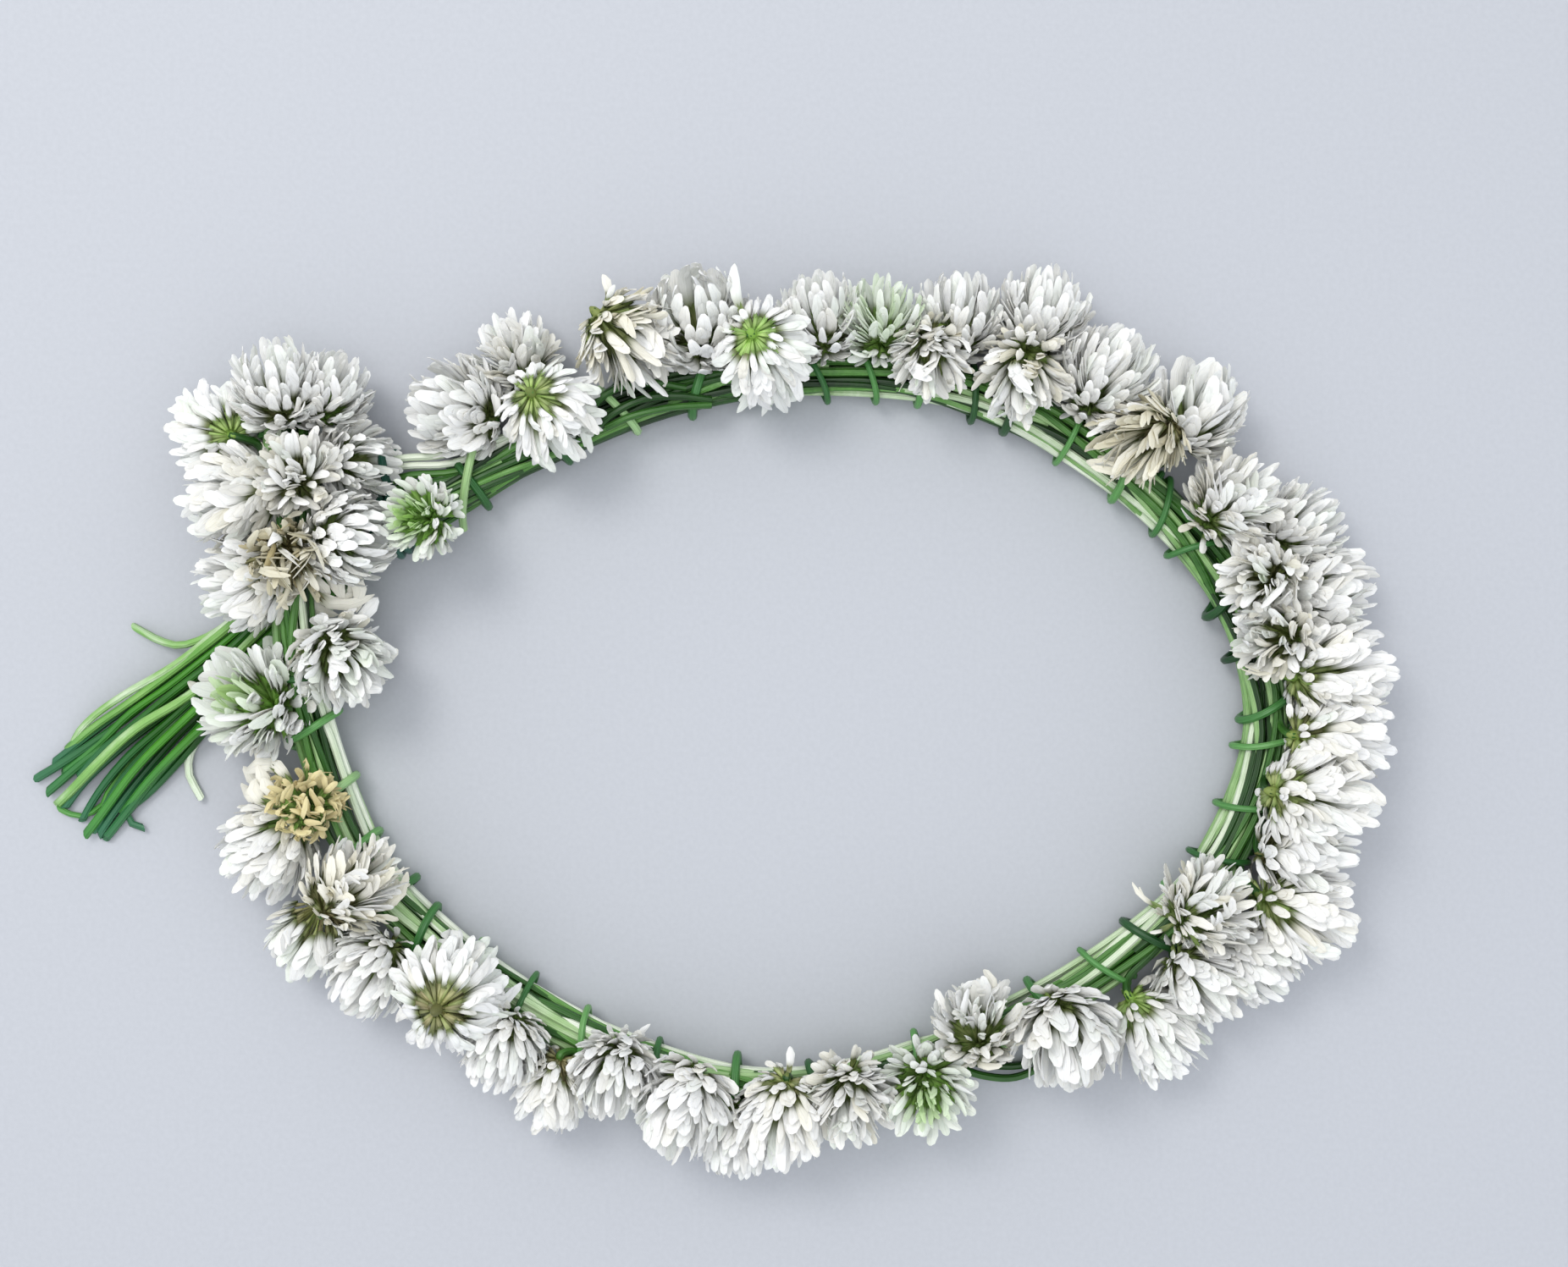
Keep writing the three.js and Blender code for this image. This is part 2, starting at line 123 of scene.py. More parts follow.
def aboveFloor(verts, lowest=0.25, soft=1.6):
    # what would pass through the surface is pressed onto it
    z = verts[..., 2]
    pressed = lowest + soft * np.exp(np.minimum(z - lowest - soft, 0) / soft)
    verts[..., 2] = np.where(z < lowest + soft, pressed, z)
    return verts


# mesh making

def addObject(name, data):
    made = bpy.data.objects.new(name, data)
    bpy.context.scene.collection.objects.link(made)
    return made


def newParts():
    return {"verts": [], "faces": [], "looks": [], "grain": [], "count": 0}


def loftFaces(bodies, rows, sides):
    # quads and end fans of many closed lofts, each of rows rings of sides points
    row, side = np.meshgrid(np.arange(rows - 1), np.arange(sides), indexing="ij")
    a = row * sides + side
    b = row * sides + (side + 1) % sides
    quads = np.stack([a, b, b + sides, a + sides], axis=-1).reshape(-1, 4)
    fan = np.arange(1, sides - 1)
    near = np.stack([np.zeros_like(fan), fan + 1, fan], axis=-1)
    far = (rows - 1) * sides + np.stack([np.zeros_like(fan), fan, fan + 1], axis=-1)
    caps = np.vstack([near, far])
    start = (np.arange(bodies) * rows * sides)[:, None, None]
    return (quads + start).reshape(-1, 4), (caps + start).reshape(-1, 3)


def addLofts(parts, rings, look, grain):
    # rings is bodies x rows x sides x 3, and grain the same with 4 values
    for faces in loftFaces(*rings.shape[:3]):
        parts["faces"].extend((faces + parts["count"]).tolist())
        parts["looks"].extend([look] * len(faces))
    parts["verts"].append(rings.reshape(-1, 3))
    parts["grain"].append(grain.reshape(-1, 4))
    parts["count"] += len(parts["verts"][-1])


def addTube(parts, line, radius, sides, look, tone, ridges=0.03):
    # one stem along a line, with low ridges. Its section is carried along without twisting
    line = np.asarray(line, float)
    radius = np.broadcast_to(radius, len(line))
    along = unit(np.gradient(line, axis=0))
    steep = abs(along[0][2]) >= 0.9
    side = unit(np.cross(along[0], np.array([1.0, 0, 0]) if steep else up))
    sideways = [side]
    for t in along[1:]:
        side = unit(side - t * (side @ t))
        sideways.append(side)
    sideways = np.array(sideways)
    across = np.cross(along, sideways)
    run = measured(line)["run"]
    angle = circle(sides)
    swell = radius[:, None] * (1 + ridges * (np.arange(sides) % 2)[None])
    ring = roundIt(line[:, None], sideways[:, None], across[:, None], angle, swell)
    grain = np.zeros((len(line), sides, 4))
    grain[..., 0] = run[:, None]
    grain[..., 1] = (angle / fullTurn)[None]
    grain[..., 2] = tone  # one number, or one for each row
    grain[..., 3] = (run / run[-1])[:, None]
    addLofts(parts, ring[None], look, grain[None])


rimAngle = 80  # degrees: sharper edges stay crisp, as the thin rims of the petals do


def makePiece(name, parts, materials, nodes=()):
    verts = aboveFloor(np.vstack(parts["verts"])) * mm
    mesh = bpy.data.meshes.new(name)
    mesh.from_pydata(verts.tolist(), [], parts["faces"])
    for material in materials:
        mesh.materials.append(material)
    mesh.polygons.foreach_set("material_index", parts["looks"])
    mesh.polygons.foreach_set("use_smooth", [True] * len(parts["looks"]))
    mesh.set_sharp_from_angle(angle=math.radians(rimAngle))
    grain = mesh.attributes.new("grain", "FLOAT_COLOR", "POINT")
    grain.data.foreach_set("color", np.vstack(parts["grain"]).ravel())
    mesh.update()
    piece = addObject(name, mesh)
    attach(piece, "root")
    if nodes:
        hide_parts(*nodes)
    pieces.append(piece)


# materials

def linear(hexColour):
    parts = [int(hexColour[i:i + 2], 16) / 255 for i in (1, 3, 5)]
    return tuple(c / 12.92 if c <= 0.04045 else ((c + 0.055) / 1.055) ** 2.4 for c in parts) + (1.0,)


def setInputs(node, inputs):
    # inputs are values, nodes that give their first output, or the (node, output name) that they come from
    for name, value in inputs.items():
        if isinstance(value, bpy.types.Node):
            value = (value, 0)
        if isinstance(value, tuple) and isinstance(value[0], bpy.types.Node):
            node.id_data.links.new(value[0].outputs[value[1]], node.inputs[name])
        else:
            node.inputs[name].default_value = value


def addNode(tree, kind, inputs=None, stops=(), **settings):
    # stops are the places and colours of a ramp, which has its first two from the start
    made = tree.nodes.new("ShaderNode" + kind)
    for name, value in settings.items():
        setattr(made, name, value)
    for number, (place, hexColour) in enumerate(stops):
        elements = made.color_ramp.elements
        stop = elements[number] if number < 2 else elements.new(place)
        stop.position = place
        stop.color = linear(hexColour)
    setInputs(made, inputs or {})
    return made


def newMaterial(name, shader):
    material = bpy.data.materials.new(name)
    material.use_nodes = True
    bsdf = material.node_tree.nodes["Principled BSDF"]
    setInputs(bsdf, shader)
    return material, bsdf, partial(addNode, material.node_tree)


def plantMaterial(name, shader):
    # one that reads the grain of a mesh: along the part, across it, its tone, and its age in the alpha
    material, bsdf, add = newMaterial(name, shader)
    grain = add("Attribute", attribute_name="grain")
    return material, bsdf, add, grain, add("SeparateColor", {"Color": grain})


petalFinish = {
    # state of a floret: green bud, opening, fresh, cream, beige, withered, and the golden of a drying bud
    "states": [(0.0, "#8fbf55"), (0.22, "#bcdc98"), (0.4, "#e2efd6"), (0.5, "#f6f6f4"), (0.58, "#efebd9"),
               (0.68, "#d2ccb2"), (0.78, "#b8aa80"), (0.86, "#a08a5c"), (0.97, "#e6d8a4")],
    "clawAndShade": "#727d4b",  # the narrow base of a petal, where it leaves the calyx: its own green, darkened further as painted shade in the gaps deep in the head
    "clawFrom": 0.02, "clawTo": 0.47,  # shares of the petal over which it pales
    "veins": 7, "veinShare": 0.3,  # across one petal, and how deep beside the mottle
    "mottleSize": 1.6,  # mm
    "crease": 0.09,  # half the width of the middle fold, as a share of the petal's
    # how much darker the veins, the mottle and the painted shade of the crease make the petal, and the petal
    # between them
    "lineShade": 0.06, "plainShade": 0.97,
    "bump": 0.35, "bumpDepth": 0.12,  # mm deep
}


def cloverPetal():
    # Fresh clover petal, a thin wet-celled tissue with fine veins: soft white, matt, and a little light
    # comes through it
    s = petalFinish
    material, bsdf, add, grain, parts = plantMaterial("cloverPetalFresh", {
        "Roughness": 0.62, "IOR": 1.4, "Specular IOR Level": 0.35, "Subsurface Weight": 0.12,
        "Subsurface Radius": (0.0016, 0.0014, 0.001), "Subsurface Scale": 1.0})
    ramp = add("ValToRGB", {"Fac": (grain, "Alpha")}, s["states"])
    # each petal is multiplied darker towards its base: partly its own green, partly painted shade in the gaps
    # between the petals
    clawAndShade = add("MapRange", {
        "Value": (parts, "Red"), "From Min": s["clawFrom"], "From Max": s["clawTo"],
        "To Min": 1.0, "To Max": 0.0}, interpolation_type="SMOOTHSTEP")
    based = add("Mix", {"Factor": clawAndShade, "A": ramp, "B": linear(s["clawAndShade"])},
                data_type="RGBA", blend_type="MULTIPLY")
    # veins run along the petal, uneven from spot to spot
    wave = add("Math", {0: (parts, "Green"), 1: s["veins"] * fullTurn}, operation="MULTIPLY")
    vein = add("Math", {0: wave}, operation="SINE")
    place = add("TexCoord")
    mottle = add("TexNoise", {
        "Vector": (place, "Object"), "Scale": 1 / (s["mottleSize"] * mm), "Detail": 2.0, "Roughness": 0.55})
    uneven = add("Math", {0: mottle, 1: -0.5}, operation="ADD")
    ribs = add("Math", {0: vein, 1: s["veinShare"], 2: uneven}, operation="MULTIPLY_ADD")
    # the fold down the middle of the petal: a dip in the bump, and painted shade along its crease in the
    # colour
    half = add("Math", {0: (parts, "Green"), 1: -0.5}, operation="ADD")
    off = add("Math", {0: half}, operation="ABSOLUTE")
    fold = add("MapRange", {"Value": off, "From Max": s["crease"], "To Min": -1.0, "To Max": 0.0},
               interpolation_type="SMOOTHSTEP")
    lines = add("Math", {0: ribs, 1: fold}, operation="ADD")
    shade = add("Math", {0: lines, 1: s["lineShade"], 2: s["plainShade"]}, operation="MULTIPLY_ADD")
    tone = add("Math", {0: (parts, "Blue"), 1: shade}, operation="MULTIPLY")
    colour = add("VectorMath", {0: (based, "Result"), "Scale": tone}, operation="SCALE")
    bump = add("Bump", {"Height": lines, "Strength": s["bump"], "Distance": s["bumpDepth"] * mm})
    setInputs(bsdf, {"Base Color": colour, "Normal": bump})
    return material


calyxFinish = [
    # from the stalk over the cup to its teeth, fresh and then dried, the dried one darker than its own olive
    # as painted shade deep in the heads
    [(0.0, "#7fb043"), (0.3, "#92c655"), (0.6, "#a9d277"), (1.0, "#7fae4e")],
    [(0.0, "#6e683f"), (0.3, "#857d50"), (0.6, "#a09870"), (1.0, "#5c5536")],
]


def cloverCalyx():
    # Calyx and flower stalks, green tissue with a thin waxy bloom: half matt, and olive to tan when dry, with
    # painted shade in the dry tones
    material, bsdf, add, grain, parts = plantMaterial("cloverCalyxWaxy", {"Roughness": 0.5, "IOR": 1.42})
    fresh, driedAndShaded = (add("ValToRGB", {"Fac": (parts, "Red")}, tones) for tones in calyxFinish)
    aged = add("Mix", {"Factor": (grain, "Alpha"), "A": fresh, "B": driedAndShaded}, data_type="RGBA")
    colour = add("VectorMath", {0: (aged, "Result"), "Scale": (parts, "Blue")}, operation="SCALE")
    setInputs(bsdf, {"Base Color": colour})
    return material


stemFinish = {
    "blotchLength": 25,  # mm along the stem of one cloudy patch, about 1 mm wide
    "blotchScale": 3.0, "blotchDepth": 0.28,
    "apart": 37.0,  # keeps the patterns of two stems apart
    "ribs": 9, "ribBump": 0.6, "ribDepth": 0.09,  # mm deep
    "tipFrom": 0.72, "tipTint": 0.9,  # where the tint of a cut end starts, and how strong it gets
}


def stemMaterial(name, tones, roughness, tipColour=None):
    # One fresh stem skin: fine ribs along it from its strands of fibre, and cloudy lighter patches
    s = stemFinish
    material, bsdf, add, grain, parts = plantMaterial(name, {
        "Roughness": roughness, "IOR": 1.45, "Coat Weight": 0.15, "Coat Roughness": 0.3})
    run = add("Math", {0: (parts, "Red"), 1: 1 / s["blotchLength"]}, operation="MULTIPLY")
    own = add("Math", {0: (parts, "Blue"), 1: s["apart"]}, operation="MULTIPLY")
    spot = add("CombineXYZ", {"X": run, "Y": (parts, "Green"), "Z": own})
    cloud = add("TexNoise", {"Vector": spot, "Scale": s["blotchScale"], "Detail": 3.0})
    drift = add("Math", {0: cloud, 1: -0.5}, operation="ADD")
    toned = add("Math", {0: drift, 1: s["blotchDepth"], 2: (parts, "Blue")}, operation="MULTIPLY_ADD")
    colour = add("ValToRGB", {"Fac": toned}, tones)
    if tipColour:
        near = add("MapRange", {
            "Value": (grain, "Alpha"), "From Min": s["tipFrom"], "To Max": s["tipTint"]})
        greener = add("Math", {0: 1.0, 1: (parts, "Blue")}, operation="SUBTRACT")
        tint = add("Math", {0: near, 1: greener}, operation="MULTIPLY")
        mixed = add("Mix", {"Factor": tint, "A": colour, "B": linear(tipColour)}, data_type="RGBA")
        colour = (mixed, "Result")
    angle = add("Math", {0: (parts, "Green"), 1: s["ribs"] * fullTurn}, operation="MULTIPLY")
    rib = add("Math", {0: angle}, operation="SINE")
    bump = add("Bump", {"Height": rib, "Strength": s["ribBump"], "Distance": s["ribDepth"] * mm})
    setInputs(bsdf, {"Base Color": colour, "Normal": bump})
    return material


petal = cloverPetal()
calyx = cloverCalyx()
bundleStem = stemMaterial("cloverStemPale", [
    (0.0, "#10300a"), (0.25, "#285a17"), (0.5, "#5c9240"), (0.75, "#a4c68a"), (1.0, "#e8efdd")], 0.4)
# the wound stems are the bundle's kind of stem in deeper greens: partly a fresher green, partly painted shade
# where they wind round the bundle's sides
loopStem = stemMaterial("cloverStemGreenAndShade", [
    (0.0, "#173f1c"), (0.4, "#2f6a30"), (0.75, "#5c9850"), (1.0, "#a2c88c")], 0.4)
tailStem = stemMaterial("cloverStemCut", [
    (0.0, "#0b3006"), (0.4, "#205f0e"), (0.7, "#479022"), (0.88, "#86b762"), (1.0, "#dce8d0")], 0.36,
    tipColour="#3a7a5c")
tieStem = stemMaterial("cloverStemTie", [(0.0, "#0f3a30"), (0.5, "#1c5444"), (1.0, "#2f7058")], 0.4)
print("materials: made")


# the route that the bundle follows

routePoints = [
    (-95, 77, 9), (-94.5, 62, 12.5), (-93.5, 45, 13), (-92.5, 29, 12.6), (-91.6, 16, 12.6), (-90, 3, 9.6),
    (-85.5, -15.5, 5.7), (-76, -35, 5.2), (-61.5, -50, 5.2), (-43, -63, 5.2), (-19, -75.5, 5.2),
    (9, -82.5, 5.2), (34, -80.3, 5.2), (57, -72, 5.2), (79, -61, 5.2), (97, -48, 5.2), (110.5, -35, 5.2),
    (119.5, -19, 5.2), (124, 0, 5.2), (119, 22.5, 5.2), (109, 39, 5.2), (92, 56, 5.2), (72, 68.5, 5.2),
    (47, 77, 5.2), (17, 78.5, 5.2), (-14, 73, 5.2), (-43, 60.5, 5.2), (-57, 52.5, 6.3), (-66, 47.5, 7.6),
    (-71.4, 44.1, 7.8),
]
tailStart = (-72.1, 43.7, 7.9)  # where the cut stems leave the end of the route, inside the tie

# The points above are laid out round the oval's own middle. The tie shows where the frame has them.
tieLow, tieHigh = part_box("tie_stem")
tieMiddle = np.array((tieLow + tieHigh) / 2) / mm
shift = tieMiddle - (np.array(routePoints[-1]) + np.array(tailStart)) / 2
route = measured(smoothLine(np.array(routePoints) + shift))
routeLength = route["run"][-1]
print(f"route: {routeLength:.0f} mm, moved by {np.round(shift, 2)}")


# camera, floor and light

photoView = {
    "above": (15.6, 19.9, 420),  # mm, over the middle of the picture
    "widthAtFloor": 356.2,  # mm of floor across the picture
    "sensor": 36, "nearest": 10,  # mm
}
studio = {
    "floorTones": [(0.3, "#b4b7bd"), (0.7, "#b8bbc1")],  # of the fibres in its paper
    "fibres": 900.0,  # in a metre
    "floorHalf": 40000,  # mm, so that its edge shows in no view
    "world": "#eef1f6", "worldStrength": 1.03,
    "key": {"at": (-360, 430, 840), "size": 420, "watts": 3.6, "colour": "#fffdfa"},
    "fill": {"at": (520, -420, 520), "size": 700, "watts": 0.45, "colour": "#eaf1ff"},
    "overhead": {"at": (0, 0, 900), "size": 500, "watts": 1.5, "colour": "#ffffff"},
}


def makeCamera():
    s = photoView
    place = np.array(s["above"], float) + np.array([shift[0], shift[1], 0])
    data = bpy.data.cameras.new("photoCamera")
    data.sensor_width = s["sensor"]
    data.lens = s["sensor"] * s["above"][2] / s["widthAtFloor"]
    data.clip_start = s["nearest"] * mm
    camera = addObject("photoCamera", data)
    camera.location = place * mm
    bpy.context.scene.camera = camera


def makeLight(name, at, size, watts, colour):
    data = bpy.data.lights.new(name, "AREA")
    data.shape = "DISK"
    data.size = size * mm
    data.energy = watts
    data.color = linear(colour)[:3]
    light = addObject(name, data)
    light.location = Vector(at) * mm
    light.rotation_euler = Vector(at).to_track_quat("Z", "Y").to_euler()


def makeFloor():
    s = studio
    material, bsdf, add = newMaterial("studioPaperMatt", {"Roughness": 0.9})
    place = add("TexCoord")
    fibre = add("TexNoise", {"Vector": (place, "Object"), "Scale": s["fibres"], "Detail": 3.0})
    setInputs(bsdf, {"Base Color": add("ValToRGB", {"Fac": fibre}, s["floorTones"])})
    half = s["floorHalf"] * mm
    corners = [(-half, -half, 0), (half, -half, 0), (half, half, 0), (-half, half, 0)]
    mesh = bpy.data.meshes.new("floor")
    mesh.from_pydata(corners, [], [(0, 1, 2, 3)])
    mesh.materials.append(material)
    addObject("floor", mesh)


makeCamera()
makeFloor()
for part in ("key", "fill", "overhead"):
    makeLight(part, **studio[part])
world = bpy.data.worlds.new("studioWorld")
world.use_nodes = True
setInputs(world.node_tree.nodes["Background"], {
    "Color": linear(studio["world"]), "Strength": studio["worldStrength"]})
bpy.context.scene.world = world
bpy.context.scene.view_settings.view_transform = "Standard"
print("studio: camera, floor and three lights")


# the bundle of stems

bundle = {
    "stemRadius": 0.9, "thickness": (0.78, 1.12), "taper": 0.25,  # mm, and shares of it
    "lengths": (110, 230),  # mm, of the stems laid one after the other in a place
    "lap": 9, "dive": 1.4,  # mm by which one starts beside the last, and by which their ends sink in
    "shortest": 25, "lastStart": 20,  # mm: none is shorter, or starts so near the end
    "turnDrift": 0.3, "outDrift": 0.35,  # radians and mm that a stem wanders
    "outerAt": 4.0,  # how far the stems that show lie from the middle
    # their tones, from the outer side over the top to the inner side and on under the bundle
    "outerTones": [0.45, 0.7, 0.3, 0.8, 0.2, 0.6, 0.85, 0.2, 0.5, 0.4, 0.5],
    "toneSpread": (-0.2, 0.2), "leastTone": 0.02,
    # stems laid along the inner side, most of them pale: from, to, angle, tone
    "edges": [(52, 185, 3.0, 1.0), (172, 262, 3.1, 0.92), (255, 352, 3.05, 0.85), (345, 420, 2.9, 0.7),
              (410, 520, 2.95, 0.95), (75, 150, 2.45, 0.9), (160, 230, 2.5, 0.2), (300, 372, 2.45, 0.95),
              (415, 505, 2.4, 0.9), (505, 606, 2.9, 0.5), (520, 600, 2.2, 0.3)],
    "inner": ([0.2] * 4, 1.6, 0.4, 0),  # the stems that don't show, as below
    # stems that cross over the rest on the upper inner side, where the bundle shows, as far out as the edges
    "over": {"count": 22, "at": 4.75, "shifts": (-8, 8), "lengths": (60, 120), "angles": (1.7, 3.1),
             "turn": 1.8, "turnShares": (0.4, 1), "tones": (0.1, 1.0)},
    # tone by place: the stems near the end are the deepest green
    "darker": [(0, 0.1), (40, 0.0), (150, 0.05), (250, 0.0), (330, 0.0), (400, -0.12), (440, 0.0),
               (500, -0.1), (545, -0.45), (620, -0.45)],
    "step": 3.2, "perSpan": 5, "sides": 8, "seed": 7,
}
sideStems = [
    # Stems that leave the bundle: seven that dive under the first heads, two that stand off its outer side,
    # three deep green ones that curve out of it, and one that crosses over. Tone, thickness, points.
    (0.95, 0.95, (-38, 67, 7), (-53, 61.3, 9.6), (-61, 59.4, 10), (-71.7, 58.4, 9), (-80, 54, 7),
     (-90, 46, 7)),
    (1.0, 0.9, (-44, 63.5, 8), (-58, 57.7, 10), (-71.5, 56.6, 8.4), (-82, 50, 6), (-91, 40, 7)),
    (0.4, 1, (-42, 62, 7), (-57, 56, 8.8), (-70, 54.6, 7.6), (-83, 46, 6.5), (-92, 34, 8)),
    (0.25, 1, (-44, 60, 8.5), (-59, 54, 9.4), (-70, 52.4, 8), (-84, 43, 6.8), (-92, 30, 8)),
    (0.6, 0.85, (-47, 58, 9.4), (-60, 51.6, 10), (-70, 49.9, 8.7), (-83, 40, 7.6), (-91, 28, 8)),
    (0.2, 1, (-36, 62, 8.5), (-50, 55.6, 9.9), (-63, 49.2, 10.6), (-73, 45, 10.4), (-82, 37, 8)),
    (0.3, 0.9, (-28, 64, 6.5), (-44, 55, 5.8), (-56, 47.4, 5.6), (-66, 41.4, 5.2), (-74, 37, 4.5)),
    (0.25, 1, (47, -74.6, 5), (54.6, -77.6, 4), (60.3, -79.8, 3), (67.9, -80.4, 2.2), (75, -77, 2),
     (80, -71, 2.4)),
    (0.1, 1, (50, -74, 3), (57, -76.6, 2.4), (63, -77.8, 2), (70, -77.6, 1.6), (76, -74, 1.6), (80, -69, 2)),
    (0.25, 1, (-28.6, 65.5, 9), (-26.7, 70.2, 10.4), (-22, 73.9, 11), (-14.6, 75.4, 11), (-6.1, 74.3, 10)),
    (0.12, 1, (-26.7, 64.6, 10), (-22, 68.7, 11.2), (-15.5, 71.7, 11.6), (-8, 72.4, 11.4), (-0.5, 71.7, 10)),
    (0.3, 0.9, (-23.9, 65.5, 10.4), (-18.3, 67.9, 11.4), (-9.9, 69.8, 11.4), (-0.5, 70.6, 10)),
    (0.72, 1.05, (-52.4, 63, 12.4), (-53.6, 57.8, 12.9), (-54.8, 52, 12.3), (-55.9, 46.5, 9.2),
     (-56.3, 43.4, 5)),
]


def addStrand(parts, rng, start, end, angle, radius, tone, turn=0.0):
    # one stem of the bundle, from one distance along the route to another
    s = bundle
    d = np.linspace(start, end, max(4, int((end - start) / s["step"])))
    point, _, outward, rise = placesAlong(route, d)
    share = (d - start) / (end - start)
    here = angle + wander(rng, d, s["turnDrift"]) + turn * (share - 0.5)
    out = radius + wander(rng, d, s["outDrift"]) - sunk(np.minimum(d - start, end - d), s["lap"], s["dive"])
    thick = s["stemRadius"] * rng.uniform(*s["thickness"])
    thick = thick * (1 - s["taper"] * np.linspace(0, 1, len(d)) ** 3)
    tone = np.clip(tone + np.interp(d, *zip(*s["darker"])), s["leastTone"], 1)
    addTube(parts, roundIt(point, outward, rise, here, out), thick, s["sides"], 0, tone[:, None])


def makeBundle():
    s = bundle
    rng = np.random.default_rng(s["seed"])
    parts = newParts()
    # tones, distance from the middle, first angle, and whether the tones vary
    for tones, radius, offset, varied in ((s["outerTones"], s["outerAt"], 0.0, 1), s["inner"]):
        for place, usual in enumerate(tones):
            angle = place / len(tones) * fullTurn + offset
            start = -rng.uniform(0, s["lengths"][0])
            while start < routeLength - s["lastStart"]:
                end = start + rng.uniform(*s["lengths"])
                first, last = max(start, 0), min(end, routeLength)
                if last - first > s["shortest"]:
                    tone = usual + rng.uniform(*s["toneSpread"]) * varied
                    addStrand(parts, rng, first, last, angle, radius, tone)
                start = end - s["lap"]
    o = s["over"]
    for first, last, angle, tone in s["edges"]:
        addStrand(parts, rng, first, last, angle, o["at"], tone)
    for number in range(o["count"]):
        start = routeLength * number / o["count"] + rng.uniform(*o["shifts"])
        first, last = max(start, 0), min(start + rng.uniform(*o["lengths"]), routeLength)
        angle = rng.uniform(*o["angles"])
        turn = rng.choice([-1, 1]) * o["turn"] * rng.uniform(*o["turnShares"])
        addStrand(parts, rng, first, last, angle, o["at"], rng.uniform(*o["tones"]), turn)
    for tone, thick, *points in sideStems:
        line = smoothLine(np.array(points) + shift, s["perSpan"])
        addTube(parts, line, s["stemRadius"] * thick, s["sides"], 0, tone)
    makePiece("stemBundle", parts, [bundleStem], ["stem_bundle"])


makeBundle()
print("bundle: its stems are laid")


# the stems wound round the bundle

wraps = [
    # mm along the bundle, and how far each leans
    (12, 1), (26, 1), (67, 0), (79, 2), (95, 2), (109, 2), (121, -1), (133, 2), (147, 2), (160, 1), (176, 2),
    (194, 2), (212, 1), (231, 2), (253, -2), (269, -1), (286, 2), (301, 2), (313, 2), (325, 1), (337, 3),
    (350, 2), (365, 2), (373, 3), (387, 1), (401, 3), (413, -2), (425, 3), (437, 2), (451, 1), (466, 1),
    (475, 2), (487, 1), (499, 2), (511, 3), (524, 2), (537, -2), (556, 2), (574, 3), (593, 1),
]
loops = {
    "stemRadius": 0.82, "thickness": (0.8, 1.3),  # mm, and shares of it
    "at": 5.55,  # mm from the middle of the bundle to the middle of the wound stem
    # how far it stands off on the inner side of the oval, where in radians off that side, and how widely
    "bulge": (0.5, 1.9), "bulgeAt": (-0.35, 0.25), "bulgeWidth": 0.62,
    "turns": 1.12, "from": -0.35,  # it starts and ends on the outer side, under the heads
    "tuck": 2.0, "tuckOver": 0.09,  # mm by which its ends go in, and over which share of it
    "slant": 1.15, "slantSpread": (-0.5, 0.5), "pitch": 2.1,  # mm along, for each lead and from end to end
    "sides": 8, "steps": 34, "seed": 23,
}
binder = {
    # a last dark one holds the stems that dive under the first heads
    "at": (-71.3, 56.8, 8.2), "radii": (3.6, 2.9), "stemRadius": 0.95,  # mm
    "turns": 1.075, "steps": 26, "from": -2.6, "advance": 0.5,  # mm along, the last to a radian
}


def makeLoops():
    s = loops
    rng = np.random.default_rng(s["seed"])
    parts = newParts()
    turn = np.linspace(s["from"], s["turns"] * fullTurn + s["from"], s["steps"])
    share = np.linspace(0, 1, s["steps"])
    ends = sunk(np.minimum(share, 1 - share), s["tuckOver"], s["tuck"])
    for distance, lead in wraps:
        bulge = rng.uniform(*s["bulge"])
        middle = math.pi + rng.uniform(*s["bulgeAt"])
        stand = s["at"] + bulge * np.exp(-((turn - middle) / s["bulgeWidth"]) ** 2) - ends
        slant = lead * s["slant"] + rng.uniform(*s["slantSpread"])
        here = distance + slant * np.cos(turn) + s["pitch"] * (share - 0.5)
        point, _, outward, rise = placesAlong(route, here)
        line = roundIt(point, outward, rise, turn, stand)
        thick = s["stemRadius"] * rng.uniform(*s["thickness"])
        addTube(parts, line, thick, s["sides"], 0, rng.uniform(0.0, 1.0))

    b = binder
    turn = np.linspace(0, b["turns"] * fullTurn, b["steps"])
    across, high = b["radii"]
    ring = np.stack([b["advance"] * turn + b["from"], np.cos(turn) * across, np.sin(turn) * high], axis=1)
    addTube(parts, np.array(b["at"]) + shift + ring, b["stemRadius"], s["sides"], 1, 0.5, ridges=0)
    makePiece("woundStems", parts, [loopStem, tieStem])


makeLoops()
print(f"loops: {len(wraps)} stems wound round the bundle")


# the tail of cut stems

